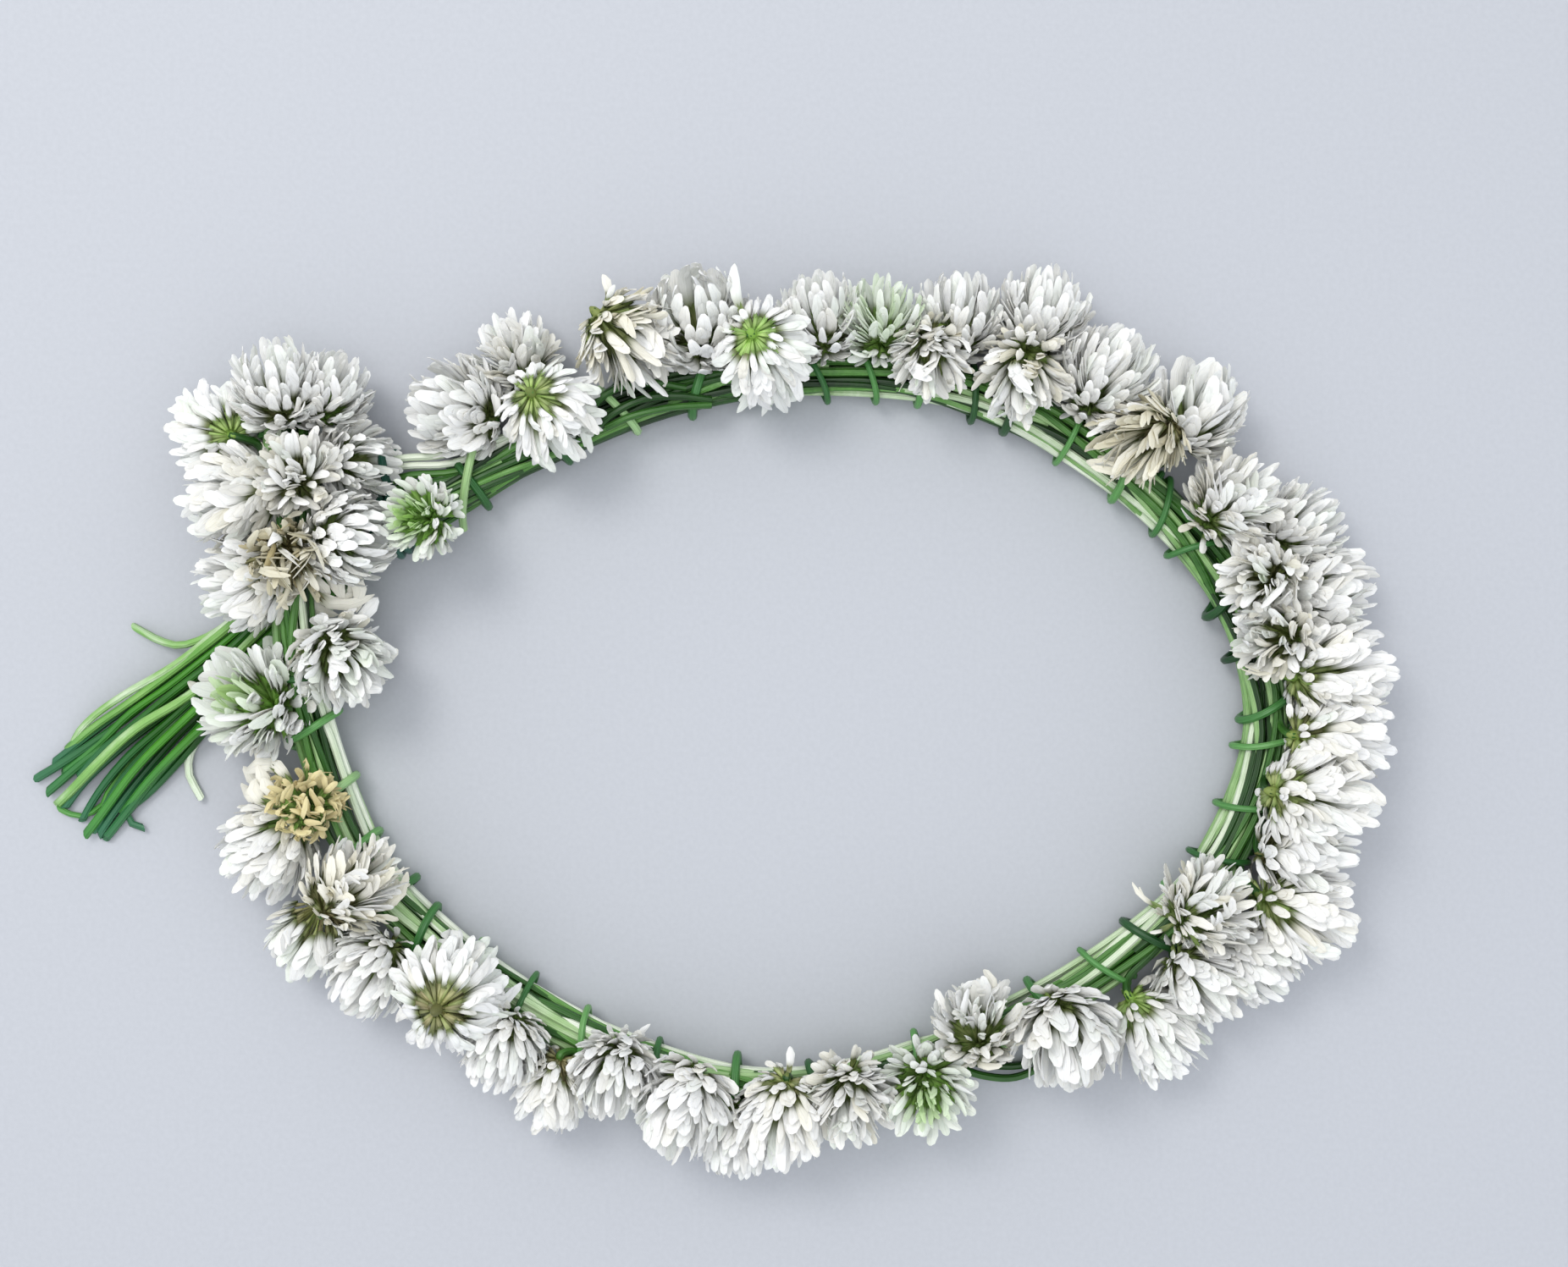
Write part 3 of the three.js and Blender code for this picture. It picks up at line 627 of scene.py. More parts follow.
tail = {
    "root": [tailStart, (-75.5, 41.5, 7.7), (-85.5, 34.9, 3.7)],  # the middle of its stems, out of the tie
    "rootRadius": 3.6, "spiral": 2.4,  # mm and radians: how they lie round that middle inside the tie
    # how much of a stem's places across the root and round it the root's second point has, and its third
    "acrossBend": 0.55, "asideBend": 0.4, "aboveBend": 0.7, "acrossSpread": 0.95,
    "stemRadius": 1.0, "swell": 0.06, "swellRun": 9, "ridges": 0.04,
    "sway": 0.5, "swayRuns": (30, 70), "swayFrom": 30, "swayOver": 40,  # mm, once it is free of the tie
    "cutSlant": 0.9,  # mm by which one side of a cut end stands proud
    "step": 2.6, "perSpan": 24, "sides": 8, "seed": 5,
}
tailStems = [
    # place across the root from the right hand to the left, height there, tone, thickness, and the points
    # that a stem runs through on the surface
    (5.6, 4.6, 0.92, 0.85, (-110.3, 21.1, 6), (-122, 12, 6), (-131.9, 6.3, 5), (-140, 1.5, 3.5),
     (-144.4, -2.4, 2), (-146.3, -6.1, 1)),
    (6.6, 3.2, 0.9, 0.85, (-109.3, 21.9, 5.5), (-115.9, 18.3, 4.5), (-120.9, 17.1, 3.5), (-126.1, 18.5, 2.5),
     (-131.3, 21.1, 1.2)),
    (4.4, 3.4, 0.35, 1, (-108.5, 19.2, 4.6), (-121.2, 9.8, 4.2), (-132.2, 0.9, 3.4), (-142.3, -5.8, 2.3),
     (-153.2, -12.6, 1)),
    (3.0, 2.2, 0.5, 1, (-110, 15.8, 2.6), (-122.7, 5.9, 2.8), (-132.6, -1.8, 2.5), (-141.5, -8.1, 2),
     (-150.9, -16.1, 1)),
    (2.6, 6.4, 0.42, 0.9, (-109, 15.9, 6.5), (-118.1, 8.9, 6.5), (-127.9, 1.6, 5.5), (-136.6, -5.1, 3.5),
     (-144.3, -12.9, 1.2)),
    (1.0, 6.9, 0.88, 1.05, (-110, 12.1, 7), (-118.9, 4.9, 7), (-129.4, -1.6, 6.5), (-139.6, -9.9, 4.5),
     (-149.3, -18.9, 1.2)),
    (1.6, 4.2, 0.25, 0.95, (-111.2, 13.1, 3.6), (-121.1, 3.9, 3.6), (-132.7, -5.2, 2.8), (-142.7, -13.9, 1.5),
     (-147.2, -19.3, 1)),
    (-0.2, 2, 0.72, 0.72, (-112.7, 9.2, 1.5), (-123.2, -0.8, 1.5), (-132.9, -10.1, 1.5), (-137.3, -15.8, 1.5),
     (-138.6, -18.7, 1.2), (-143.3, -21.1, 1), (-148.2, -19.5, 1)),
    (-1.0, 4.6, 0.3, 1, (-111.7, 9.4, 4.4), (-124.3, -3.2, 4.4), (-134.5, -13.8, 3), (-140.6, -24.5, 1)),
    (-1.8, 6.4, 0.66, 1, (-111.3, 7.6, 6.2), (-121.4, -1.9, 6), (-130.5, -11.2, 4.6), (-142.1, -25.3, 1.8)),
    (-2.6, 2.2, 0.2, 1, (-112.6, 5.4, 2), (-123.4, -5.6, 2), (-133.1, -16.8, 1.5), (-139.4, -25.5, 1)),
    (-3.6, 4.6, 0.4, 1, (-111.9, 3.6, 4.5), (-119.8, -5.2, 4), (-128.9, -15.8, 2.5), (-137.9, -26.2, 1)),
    (-4.4, 6.2, 0.62, 0.95, (-111.4, 2, 6), (-117.9, -3.8, 5.6), (-126.5, -12.4, 4), (-134, -20.7, 1.2)),
    (-4.8, 2.2, 0.3, 0.9, (-112.6, 1.2, 2.2), (-119.5, -7, 2), (-128.3, -16.4, 1.5), (-132.9, -20.9, 1),
     (-132.5, -23, 1), (-129.2, -24.3, 1)),
    (-6.0, 3.0, 1.0, 0.98, (-110.5, 3.3, 2), (-115.2, -1.5, 1.6), (-118.6, -6.9, 1.2), (-119.2, -12, 1.1),
     (-116.7, -17.4, 1.1)),
    (5.0, 6.0, 0.82, 0.95, (-109.6, 20.4, 6.4), (-121.6, 11.8, 5.6), (-131.6, 4.6, 4.6), (-139.6, -0.8, 3),
     (-146.6, -6.4, 1)),
    (4.8, 2.6, 0.3, 0.95, (-109.4, 19.6, 2.6), (-121.8, 11.2, 2.4), (-132.2, 3.6, 2.2), (-141, -2.8, 1.6),
     (-149.6, -9.4, 1)),
    (3.6, 5.6, 0.6, 0.9, (-109.8, 17.8, 5.6), (-120.6, 9.4, 5.6), (-130.6, 2.4, 4.4), (-138.2, -4.6, 2.6),
     (-147.6, -11.2, 1)),
    (0.2, 5.4, 0.33, 0.9, (-111, 10.8, 5.4), (-121.4, 1.6, 5.4), (-131.4, -7.4, 4), (-140.6, -18.4, 1.6),
     (-143.2, -22.4, 1)),
]


def makeTail():
    s = tail
    rng = np.random.default_rng(s["seed"])
    parts = newParts()
    root = np.array(s["root"], float)
    along = unit(root[2] - root[1])
    across = -unit(np.cross(up, along))
    for number, (place, height, tone, thick, *points) in enumerate(tailStems):
        turn = number * s["spiral"]
        out = s["rootRadius"] * math.sqrt((number + 0.5) / len(tailStems))
        aside, above = math.cos(turn), math.sin(turn)
        start = root[0] + across * aside * out + up * above * out
        bend = (root[1] + across * (place * s["acrossBend"] + aside * out * s["asideBend"])
                + up * (above * out * s["aboveBend"]))
        spread = root[2] + across * place * s["acrossSpread"]
        spread[2] = height
        run = measured(smoothLine([start, bend, spread, *points], s["perSpan"]) + shift)
        d = np.linspace(0, run["run"][-1], int(run["run"][-1] / s["step"]))
        line = lineAt(run, d)
        free = np.clip((d - s["swayFrom"]) / s["swayOver"], 0, 1)
        for k in (0, 1):
            line[:, k] += wander(rng, d, s["sway"], s["swayRuns"]) * free
        shape = s["stemRadius"] * thick * (1 + s["swell"] * np.sin(d / s["swellRun"] + number))
        addTube(parts, line, shape, s["sides"], 0, tone, ridges=s["ridges"])
        # the knife leaves each end slanted
        last = parts["verts"][-1][-s["sides"]:]
        proud = s["cutSlant"] * np.cos(circle(s["sides"]) + number)
        last += unit(line[-1] - line[-2]) * proud[:, None]
    makePiece("cutStemTail", parts, [tailStem], ["tail_stems"])


makeTail()
print(f"tail: {len(tailStems)} cut stems")


# the tie, one dark stem wound three times

tie = {
    "turns": 3.3, "pitch": 2.05, "at": 6.55, "stemRadius": 1.0,  # mm
    "tuck": 1.2, "tuckOver": 0.06,
    "sides": 10, "stepsPerTurn": 26,
}


def makeTie():
    s = tie
    parts = newParts()
    turn = np.linspace(0, s["turns"] * fullTurn, int(s["turns"] * s["stepsPerTurn"]))
    share = np.linspace(-0.5, 0.5, len(turn))
    axis = unit(np.array(tail["root"][1], float) - np.array(routePoints[-2], float))
    side = unit(np.cross(axis, up))
    over = np.cross(side, axis)
    stand = s["at"] - sunk(0.5 - np.abs(share), s["tuckOver"], s["tuck"])
    middle = tieMiddle + axis * (share * s["pitch"] * s["turns"])[:, None]
    addTube(parts, roundIt(middle, side, over, turn, stand), s["stemRadius"], s["sides"], 0, 0.5)
    makePiece("tieStem", parts, [tieStem], ["tie_stem"])


makeTie()
print("tie: wound")


# the clover heads

# What a row of looks says, in order: how many florets; the angles off the head's top from which and to
# which they reach; how far down from the middle they grow, in radii; the angles by which one leaves its
# stalk wider, and its tip closes towards the top; how uneven their reach is; the widths of petal and cup,
# to the usual; the shares of a floret where its cup and its petals start; its state, 0 green bud, 0.5 fresh,
# 0.9 withered, with the spread of that, and how much more withered the lowest are; the degrees off the top
# within which there are buds, and the state of the first; and by how many radians single florets stray.
lookParts = ("count", "reach", "base", "leave", "close", "ragged", "width", "cup", "stalk", "calyx",
             "state", "spread", "older", "bud", "budState", "jitter")
looks = {
    "ball": (158, (3, 142), 0.56, 0.4, 0.42, 0.08, 0.88, 1.0, 0.1, 0.28, 0.49, 0.012, 0.035, 0, 0, 0.1),
    "closed": (136, (3, 142), 0.6, 0.55, 0.8, 0.05, 1.02, 1.0, 0.1, 0.28, 0.49, 0.012, 0.035, 0, 0, 0.08),
    "broad": (114, (3, 140), 0.64, 0.36, 0.3, 0.12, 1.16, 1.0, 0.1, 0.3, 0.49, 0.012, 0.035, 0, 0, 0.13),
    "young": (132, (3, 140), 0.5, 0.3, 0.25, 0.08, 0.8, 1.1, 0.1, 0.34, 0.4, 0.03, 0.1, 0, 0, 0.12),
    "fan": (134, (3, 156), 0.78, 0.26, 0.14, 0.12, 1.0, 1.0, 0.12, 0.36, 0.49, 0.015, 0.05, 0, 0, 0.13),
    "sprung": (132, (6, 142), 0.84, 0.24, -0.05, 0.16, 0.84, 0.85, 0.1, 0.32, 0.48, 0.02, 0.03, 0, 0, 0.13),
    "ruffled": (152, (3, 142), 0.55, 0.25, 0.05, 0.16, 0.9, 1.0, 0.12, 0.36, 0.48, 0.02, 0.05, 0, 0, 0.22),
    "open": (130, (3, 144), 0.6, 0.15, -0.2, 0.13, 0.94, 1.1, 0.12, 0.33, 0.49, 0.02, 0.06, 0, 0, 0.15),
    "slender": (142, (3, 148), 0.66, 0.15, -0.15, 0.16, 0.74, 1.1, 0.12, 0.38, 0.495, 0.02, 0.07, 0, 0, 0.18),
    "opening": (144, (3, 142), 0.5, 0.2, 0.1, 0.12, 0.96, 1.2, 0.12, 0.38, 0.48, 0.02, 0.02, 32, 0.14, 0.16),
    "starry": (132, (3, 140), 0.45, 0.25, -0.1, 0.12, 0.78, 1.15, 0.12, 0.42, 0.47, 0.02, 0.0, 44, 0.2, 0.14),
    "budded": (136, (2, 134), 0.4, 0.25, -0.05, 0.08, 0.82, 1.3, 0.12, 0.46, 0.46, 0.03, 0.0, 50, 0, 0.13),
    "cream": (124, (3, 148), 0.66, 0.08, -0.25, 0.16, 0.84, 1.0, 0.14, 0.36, 0.5, 0.025, 0.07, 0, 0, 0.19),
    "arched": (118, (3, 146), 0.82, 0.14, -0.2, 0.14, 0.78, 0.9, 0.14, 0.4, 0.515, 0.03, 0.06, 0, 0, 0.17),
    "faded": (116, (3, 144), 0.8, 0.12, -0.12, 0.18, 0.76, 0.9, 0.14, 0.33, 0.57, 0.04, 0.09, 0, 0, 0.2),
    "spent": (120, (1, 150), 0.55, 0.1, 0.25, 0.3, 0.66, 0.9, 0.16, 0.4, 0.62, 0.06, 0.1, 0, 0, 0.4),
    "golden": (138, (3, 146), 0.4, 0.1, -0.6, 0.2, 0.6, 1.2, 0.18, 0.46, 0.97, 0.03, 0.0, 0, 0, 0.4),
    "splayed": (54, (4, 92), 0.84, 0.05, 0.2, 0.1, 1.2, 0.9, 0.3, 0.45, 0.49, 0.02, 0.0, 0, 0, 0.12),
}
heads = [
    # along the bundle, out from its middle, height of the head's middle, radius, look, the bearing that the
    # head faces in plan, its rise over the horizon (below 0 it shows its stalks), and its stalks' age from
    # 0 vivid green over 0.5 olive to 1 tan, which is 0.6 where a row leaves it out
    (4, -1, 19.5, 11.8, "ball", 96, 26, 0.7), (5, -10.6, 14.5, 10.8, "ball", 62, 30, 0.2),
    (12, 15, 9.5, 12, "sprung", 160, -56, 0.42), (21, -15.6, 13, 10.4, "ball", -10, 34),
    (23, -5, 24, 10.6, "cream", 70, 70, 0.8), (27, 10.5, 16, 13, "fan", 190, -8),
    (38, -15, 20, 10.9, "closed", -8, 14), (42, -3, 25, 10.6, "spent", 300, 48, 1.0),
    (46, 9.5, 17, 12.2, "fan", 198, 8), (64.5, -10.5, 18, 12.2, "ruffled", -50, 40),
    (71, 10, 15, 14.4, "opening", 152, 54, 0.1), (95.5, 3.5, 17, 9.4, "golden", 60, 66, 0.3),
    (101, 17, 9.5, 12.4, "fan", 228, 2, 0.25), (115, 1, 18, 12.4, "arched", 42, 6, 0.9),
    (118, 18.5, 8, 11, "splayed", 248, -8, 0.85), (130, 12.2, 12.5, 11.5, "ball", 235, 20),
    (146, 2.5, 19, 14.6, "sprung", 50, -78, 0.85), (161, 8, 15, 11, "ball", 250, 18),
    (175, 12, 11, 10.5, "fan", 258, -14, 1.0), (185, 1, 18, 10.8, "ball", 262, 46),
    (201, 3.2, 18, 12.6, "broad", 250, 24), (213, 8.6, 12, 10.2, "ball", 274, 12),
    (222, 3.6, 17, 11.8, "fan", 264, -5, 0.75), (237, 0, 18, 11.6, "open", 270, 54),
    (253, 2.5, 18, 12, "starry", 262, 66, 0.2), (269, -6, 17, 11.6, "slender", 100, 40),
    (285, 4.6, 19, 13, "broad", 280, 36), (301, 17, 9, 12.8, "sprung", 306, -14, 0.35),
    (315, 13.5, 12, 11.8, "broad", 318, 26), (325, 18.5, 8.5, 11.8, "ball", 320, 10),
    (326, 0, 19, 12, "slender", 40, 30), (336, 20, 11, 13.6, "fan", 336, -14, 0.55),
    (345, 13, 13, 12.8, "broad", 0, 16, 0.8), (356, 11, 16, 14, "fan", 350, -12),
    (367, 13.4, 14, 13.2, "fan", 355, -10, 0.7), (378, 14, 14, 13.4, "fan", 5, -12),
    (388, 2, 17.5, 10.8, "cream", 180, 46, 0.7), (393, 18.3, 9, 12.2, "broad", 12, 24),
    (400, 4, 17.5, 10.8, "cream", 190, 50, 0.8), (404, 20, 8, 11.2, "ball", 40, 26),
    (416, 10, 15, 12.8, "open", 40, 30, 0.45), (433, 19.6, 10, 12.8, "broad", 75, 26),
    (439, 5, 18, 11.8, "faded", 208, 4, 0.95), (451, 13.5, 12.5, 13.2, "ball", 62, 34, 0.45),
    (466, 5, 17.5, 11.8, "cream", 262, 34), (467, 20.2, 9.5, 12.2, "ball", 84, 28),
    (482, 13.4, 10.5, 11.7, "ball", 95, 30), (486, 3, 17.5, 10.8, "cream", 270, 32, 0.7),
    (497, 9.4, 15, 11.2, "young", 90, 40, 0.2), (509, 10.4, 13.5, 11.4, "ball", 95, 34, 0.5),
    (521, 2.4, 19, 12.6, "sprung", 316, -66, 0.25), (534, 13, 13, 12.8, "closed", 95, 52),
    (548, 10.6, 15, 13.4, "arched", 318, 4, 0.72), (569, 3, 18, 12.6, "sprung", 312, -64, 0.5),
    (571, 19, 9, 11.2, "open", 110, 30, 0.4), (586, 14.5, 12.5, 12.7, "broad", 165, 30),
    (604, -4, 22, 9.9, "budded", 180, 66, 0.0),
]
# single florets that stand out of their head, by the head's place in the list: where their tips lie, and
# their width to the usual
strays = {
    8: [(-81, 27, 15, 1.1), (-78, 30, 14, 1.1), (-84, 28, 15, 1.1), (-78.5, 24.5, 13, 1.1),
        (-74.5, 28.5, 13, 1), (-82.5, 24, 13, 1.1)],
    10: [(-73.6, 27.8, 14, 1.1)],
    12: [(-104.5, -9.6, 9, 1.2), (-101.9, -6.6, 10, 1.2), (-105.3, -13.4, 8, 1.2), (-103.2, -11, 12, 1.2),
         (-100, -9, 14, 1.1), (-98.5, -11.5, 15, 1.1), (-101.5, -14.5, 13, 1.2), (-97, -8, 14, 1),
         (-104.5, -16, 9, 1.2), (-100.5, -12, 14, 1.2)],
    20: [(-13.9, -66.3, 12, 0.45)],
    23: [(16.9, -71.2, 12, 0.7)],
    31: [(92.8, -35.2, 10, 0.4)],
    51: [(4.8, 100.8, 16, 0.95), (18.6, 94.6, 14, 0.95), (5.1, 68.9, 9, 0.9), (10.7, 68.3, 8, 0.9),
         (16.4, 68.9, 9, 0.9), (13, 69.5, 10, 0.8), (8, 69.5, 11, 0.9)],
    52: [(-5.3, 77.7, 20, 1.1)],
    53: [(-24.5, 99.2, 12, 0.75), (-21.5, 96.5, 14, 0.5)],
    56: [(-58.2, 59.1, 13, 1), (-61.2, 61.7, 12, 1), (-54.1, 58.6, 13, 1), (-49.6, 60.5, 14, 1)],
}
floret = {
    "usualRadius": 11.5, "halfWidth": 1.4,  # mm, of a head, and of the big upper petal on it
    "skin": 0.12, "calyxRadius": 0.6, "stalkRadius": 0.26,  # mm
    "widths": (0.78, 1.16), "budWidth": 0.6, "twist": 0.25,
    "tones": (0.94, 1.0), "shades": (0.6, 1.15),  # of petals, and of cups and stalks
    "goldenAngle": 2.39996, "turnJitter": 1.5,
    "aside": (0.3, 0.5, 0.81),  # a direction that no head faces, from which its turns are counted
    "full": 0.97, "shortest": 0.55,  # radii of the head: the tips' globe, and the shortest floret
    "uneven": (-0.35, 1.5), "budReach": 0.82,  # shares of the look's unevenness, and of the full reach
    "startUp": 0.16, "startOut": 0.06,  # radii, where they leave the stem
    "firstBend": 0.4, "secondBend": 0.35,  # of a floret's length
    "lowest": (0.6, 2.2), "lowestBend": 0.8,  # mm over the surface
    "clear": 6.2,  # mm from the middle of the bundle
    "lowFrom": 1.6, "lowOver": 0.9, "lowSlimmer": 0.4, "lowCup": 0.15,  # the lowest, in radians off the top
    "loosePolar": 1.2, "looseState": 0.56, "looseAge": 0.6,  # of florets that stand out of their head
    "mostWithered": 0.84, "budOpens": 0.42, "ageSpread": 0.08,
    "hang": (0.1, 0.45),  # widths by which the wings hang under the big petal
    "overlap": 0.02,  # share by which the cup reaches over the petals
    "seed": 100,
}
petalForm = {
    # the big upper petal: its width at shares of its length, also of a loose one
    "rows": np.array([0.0, 0.35, 0.7, 0.93, 1.0]),
    "shape": np.array([0.54, 0.88, 1.0, 0.7, 0.22]),
    "looseShape": np.array([0.5, 0.85, 1.0, 0.5, 0.08]),
    "folds": [84, 42, 26],  # degrees from its middle to its rim, at its base, halfway and at its tip
    "foldDepth": 0.9,
    "across": np.array([-1, -0.38, 0.38, 1, 0.45, -0.45]),  # four points over it, two under it
    "under": np.array([0, 0, 0, 0, 1, 1]), "underNarrower": 0.12,
}
wingForm = {
    # the two wings and the keel between them as one closed form, in half widths of the big petal
    "rows": np.array([0.0, 0.62, 1.0]), "shape": np.array([0.45, 1.0, 0.35]),
    "width": 0.8, "depth": 0.36, "under": 0.26, "sides": 4,
    "reach": 0.86, "sink": 0.3, "twist": 0.6, "tone": 0.98,  # beside the big petal's
}
cupForm = {
    "teeth": 4,  # where a real one has five
    "toothLength": 0.5, "toothSpread": 0.15, "foot": 0.5,
    "rows": [0.3, 1.0], "stalkRows": [0.0, 0.2],  # their places in the calyx colours
    "stalkSides": 3,
}
headStem = {
    # the swollen end that the florets stand on: along the head's axis and out from it, in radii
    "knob": [(-0.14, 0.25), (-0.08, 0.75), (0.04, 1.0), (0.14, 0.8), (0.22, 0.3)],
    "knobRadius": 0.09, "knobSides": 8, "inside": 0.05,
    # mm: its thickness, how far it runs straight, and where it goes: along the bundle and out from it
    "radius": 0.95, "straight": 0.7, "lean": 2, "into": [(0, 5.4), (9, 4.3), (22, 2.8)],
    "perSpan": 5, "sides": 6, "tones": (0.05, 0.45), "knobTones": (0, 0.3),
}


def floretFrames(path, back, shares, twist):
    # points on each floret's curved way, and the directions across it and towards its back
    shares = np.broadcast_to(shares, (len(back), np.shape(shares)[-1]))
    q = shares[..., None]
    a, b, c, d = (p[:, None] for p in path)
    point = a * (1 - q) ** 3 + b * 3 * q * (1 - q) ** 2 + c * 3 * q ** 2 * (1 - q) + d * q ** 3
    along = unit((b - a) * (1 - q) ** 2 + (c - b) * 2 * q * (1 - q) + (d - c) * q ** 2)
    out = unit(back[:, None] - along * np.sum(back[:, None] * along, axis=-1, keepdims=True))
    side = np.cross(out, along)
    turn = (twist[:, None] * shares)[..., None]
    return point, side * np.cos(turn) + out * np.sin(turn), out * np.cos(turn) - side * np.sin(turn)


def petalSections(path, back, twist, first, rows, x, y):
    # rings of points at these shares of a petal, which starts at a share of the floret
    point, side, out = floretFrames(path, back, first[:, None] + (1 - first[:, None]) * rows, twist)
    return point[:, :, None] + side[:, :, None] * x[..., None] + out[:, :, None] * y[..., None]


def petalRings(path, back, twist, width, shape, first):
    s = petalForm
    fold = np.radians(np.interp(s["rows"], [0, 0.5, 1], s["folds"]))[None, :, None]
    half = (width[:, None] * shape)[:, :, None]
    curl = np.sin(fold)
    x = half * np.sin(s["across"] * fold) / curl * (1 - s["underNarrower"] * s["under"])
    y = half * (np.cos(s["across"] * fold) - 1) / curl * s["foldDepth"]
    y -= floret["skin"] * s["under"] * (1 + half)
    return petalSections(path, back, twist, first, s["rows"], x, y)


def wingRings(path, back, twist, width, first, hang):
    # a little shorter than the big petal, and under it
    s = wingForm
    a, b, c, d = path
    down = back * (width * hang)[:, None]
    path = (a, b - down * s["sink"], c - down, d * s["reach"] + a * (1 - s["reach"]) - down)
    half = width[:, None, None] * s["width"] * s["shape"][None, :, None]
    x = half * np.cos(circle(s["sides"]))
    y = half * s["depth"] * np.sin(circle(s["sides"])) - width[:, None, None] * s["under"]
    return petalSections(path, back, twist, first, s["rows"], x, y)


def calyxRings(path, back, twist, width, first, last):
    # a slim green cup, every other point of its rim drawn out into a tooth on the petals
    s = cupForm
    shares = np.stack([np.full(len(last), first), last, last + (last - first) * s["toothLength"]], axis=1)
    point, side, out = floretFrames(path, back, shares, twist)
    tooth = np.arange(2 * s["teeth"]) % 2
    rings = []
    for row, size in ((0, s["foot"]), (1, 1.0)):
        middle = np.where((tooth * row)[:, None] > 0, point[:, 2:], point[:, row:row + 1])
        spread = width[:, None] * size * (1 + s["toothSpread"] * tooth * row)
        rings.append(roundIt(middle, side[:, row:row + 1], out[:, row:row + 1], circle(len(tooth)), spread))
    return np.stack(rings, axis=1)


def awayFromBundle(points, clear):
    # a tip inside the bundle is pushed out to its skin
    gaps = points[:, None] - route["line"][None, ::4]
    far = np.linalg.norm(gaps, axis=-1)
    nearest = far.argmin(axis=1)
    gap = far[np.arange(len(points)), nearest]
    push = np.clip(clear - gap, 0, None) / np.maximum(gap, 0.5)
    return points + gaps[np.arange(len(points)), nearest] * push[:, None]


def grainOf(rows, across, tone, age):
    # what a material reads: along the part, across it, its tone and its age
    grain = np.zeros((len(tone), len(rows), len(across), 4))
    grain[..., 0] = np.array(rows)[None, :, None]
    grain[..., 1] = across[None, None]
    grain[..., 2] = tone[:, None, None]
    grain[..., 3] = np.clip(age, 0, 1)[:, None, None]
    return grain


def placeTips(rng, head):
    # the tips stand evenly over the head's globe, turn by turn, and the loose ones come last
    s, look, centre, axis, base = floret, head["look"], head["centre"], head["axis"], head["base"]
    n = look["count"]
    order = np.arange(n) + 0.5
    top, foot = (math.cos(math.radians(a)) for a in look["reach"])
    polar = np.arccos(top + (foot - top) * order / n) + rng.normal(0, look["jitter"], n)
    turn = order * s["goldenAngle"] + rng.normal(0, look["jitter"] * s["turnJitter"], n)
    ring = roundIt(0, head["east"], head["north"], turn)
    isBud = (np.abs(polar) < math.radians(look["bud"])) & (look["bud"] > 0)
    reach = head["radius"] * s["full"] * (1 - rng.uniform(*s["uneven"], n) * look["ragged"])
    reach *= np.where(isBud, s["budReach"], 1.0)
    tip = centre + roundIt(0, axis, ring, polar) * reach[:, None]
    for x, y, z, _ in head["loose"]:
        tip = np.vstack([tip, np.array([x, y, z]) + shift])
        ring = np.vstack([ring, unit(tip[-1] - centre - axis * ((tip[-1] - centre) @ axis))])
        polar = np.append(polar, s["loosePolar"])
        isBud = np.append(isBud, False)
    shortest = s["shortest"] * head["radius"]
    tip = base + unit(tip - base) * np.maximum(np.linalg.norm(tip - base, axis=1), shortest)[:, None]
    tip[:, 2] = np.maximum(tip[:, 2], rng.uniform(*s["lowest"], len(tip)))
    return awayFromBundle(tip, s["clear"]), ring, polar, isBud


def bendFlorets(rng, head, tip, ring, polar, alone):
    # a floret leaves sideways, and bends towards the head's top or away from it
    s, look, axis, radius, n = floret, head["look"], head["axis"], head["radius"], len(tip)
    start = (head["base"] + axis * (s["startUp"] * radius * np.cos(polar / 2))[:, None]
             + ring * s["startOut"] * radius)
    length = np.linalg.norm(tip - start, axis=1)[:, None]
    way = (tip - start) / length
    slope = np.sum(way * axis, axis=1)[:, None]
    back = unit(axis - way * slope + ring * 0.02)  # the ring settles it for a floret along the axis
    back[alone] = unit(up - way[alone] * way[alone][:, 2:])
    leave = (look["leave"] + rng.normal(0, look["jitter"], n))[:, None] * np.sqrt(np.clip(1 - slope, 0, 1))
    close = (look["close"] + rng.normal(0, look["jitter"] * 2, n))[:, None]
    aside = np.cross(back, way) * rng.normal(0, look["jitter"], (n, 1)) * length
    first = start + (way * np.cos(leave) - back * np.sin(leave)) * length * s["firstBend"] + aside * 0.5
    second = tip - (way * np.cos(close) + back * np.sin(close)) * length * s["secondBend"] + aside
    for bend in (first, second):
        bend[:, 2] = np.maximum(bend[:, 2], s["lowestBend"])
    return (start, first, second, tip), back


def addHeadStem(parts, rng, head, shade, age):
    # the swollen end that the florets stand on, and the stem from there to the bundle and along it
    s, base, axis, radius = headStem, head["base"], head["axis"], head["radius"]
    knob = np.array(s["knob"])
    angle = circle(s["knobSides"])
    middle = (base + axis * radius * knob[:, :1])[:, None]
    rings = roundIt(middle, head["east"], head["north"], angle, s["knobRadius"] * radius * knob[:, 1:])
    rows = np.linspace(*s["knobTones"], len(knob))
    addLofts(parts, rings[None], 1, grainOf(rows, angle / fullTurn, shade, age))

    gap = np.linalg.norm(route["line"] - base, axis=1)
    ahead, out = np.array(s["into"]).T
    point, along, _, _ = placesAlong(route, route["run"][gap.argmin()] + ahead)
    away = unit(base - point[0])
    meets = point + away * out[:, None]
    meets[0] += along[0] * s["lean"]
    points = [base + axis * s["inside"] * radius, base - axis * s["straight"], *meets]
    line = smoothLine(points, s["perSpan"])
    addTube(parts, line, s["radius"], s["sides"], 2, rng.uniform(*s["tones"]), ridges=0)


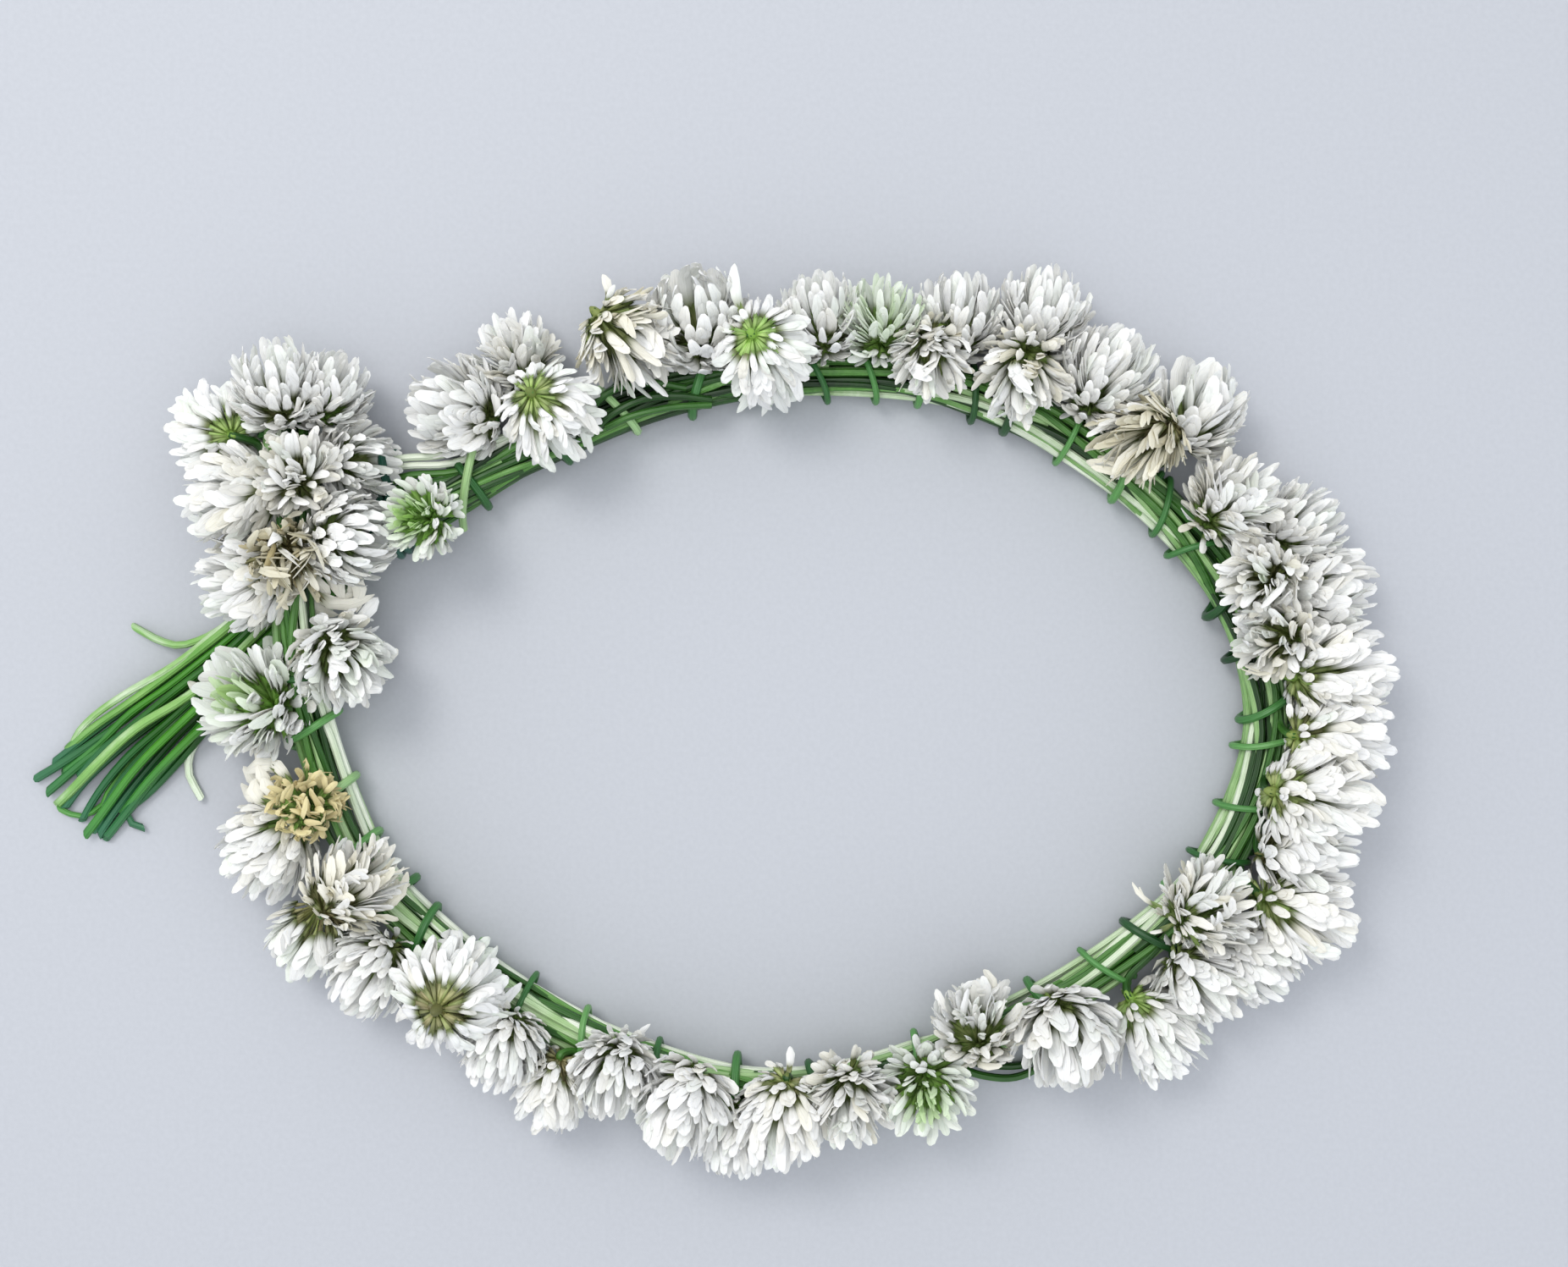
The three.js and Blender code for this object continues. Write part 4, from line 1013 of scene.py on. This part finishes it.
def makeHead(number, station, out, height, radius, lookName, bearing, rise, stalkAge=0.6):
    s, look = floret, dict(zip(lookParts, looks[lookName]))
    rng = np.random.default_rng(s["seed"] + number)
    point, _, outward, _ = placesAlong(route, [station])
    centre = point[0] + outward[0] * out
    centre[2] = height
    b, e = math.radians(bearing), math.radians(rise)
    axis = np.array([math.cos(b) * math.cos(e), math.sin(b) * math.cos(e), math.sin(e)])
    east = unit(np.cross(axis, s["aside"]))
    head = {"look": look, "radius": radius, "loose": strays.get(number, []), "centre": centre, "axis": axis,
            "east": east, "north": np.cross(axis, east), "base": centre - axis * look["base"] * radius}
    tip, ring, polar, isBud = placeTips(rng, head)
    n = len(tip)
    alone = np.arange(n) >= look["count"]
    path, back = bendFlorets(rng, head, tip, ring, polar, alone)

    # the lowest, round the stem, are the slimmest, and show the most of their cups
    scale = radius / s["usualRadius"]
    low = np.clip((polar - s["lowFrom"]) / s["lowOver"], 0, 1)
    width = s["halfWidth"] * scale * look["width"] * rng.uniform(*s["widths"], n)
    width *= np.where(isBud, s["budWidth"], 1.0)
    width *= 1 - s["lowSlimmer"] * low
    width[alone] = [s["halfWidth"] * share for *_, share in head["loose"]]
    opens = look["calyx"] * (1 + s["lowCup"] * low)
    shape = np.where(alone[:, None], petalForm["looseShape"], petalForm["shape"])
    twist = rng.normal(0, s["twist"] + look["jitter"] * 2, n) * ~alone
    tone = rng.uniform(*s["tones"], n)
    state = look["state"] + rng.normal(0, look["spread"], n)
    state = np.minimum(state + look["older"] * polar / math.pi, max(s["mostWithered"], look["state"]))
    ripe = np.abs(polar) / math.radians(max(look["bud"], 1))  # from the greenest bud to the ring that opens
    state = np.where(isBud, look["budState"] + (s["budOpens"] - look["budState"]) * ripe, state)
    state[alone] = np.minimum(state[alone], s["looseState"])
    age = np.where(alone, np.maximum(stalkAge, s["looseAge"]), stalkAge) + rng.normal(0, s["ageSpread"], n)

    parts = newParts()
    addLofts(parts, petalRings(path, back, twist, width, shape, opens), 0,
             grainOf(petalForm["rows"], petalForm["across"] / 2 + 0.5, tone, state))
    w = wingForm
    hang = rng.uniform(*s["hang"], n) + look["jitter"]
    addLofts(parts, wingRings(path, back, twist * w["twist"], width, opens, hang), 0,
             grainOf(w["rows"], circle(w["sides"]) / fullTurn, tone * w["tone"], state))
    c = cupForm
    cup = np.full(n, s["calyxRadius"] * scale * look["cup"])
    shade = rng.uniform(*s["shades"], n)
    addLofts(parts, calyxRings(path, back, twist, cup, look["stalk"], opens + s["overlap"]), 1,
             grainOf(c["rows"], circle(2 * c["teeth"]) / fullTurn, shade, age))

    # flower stalks, from the head's base to each calyx
    point, side, over = floretFrames(path, back, np.array([0.0, look["stalk"] + s["overlap"] / 2]), twist)
    angle = circle(c["stalkSides"])
    rings = roundIt(point[:, :, None], side[:, :, None], over[:, :, None], angle, s["stalkRadius"])
    addLofts(parts, rings, 1, grainOf(c["stalkRows"], angle / fullTurn, shade, age))
    addHeadStem(parts, rng, head, shade[:1], age[:1])

    makePiece(f"cloverHead{number:02d}", parts, [petal, calyx, bundleStem], [f"blossom_{number:02d}"])


for number, head in enumerate(heads, 1):
    makeHead(number, *head)
print(f"heads: {len(heads)} made")

triangles = sum(len(face.vertices) - 2 for piece in pieces for face in piece.data.polygons)
print(f"pieces: {len(pieces)}, {triangles} triangles")
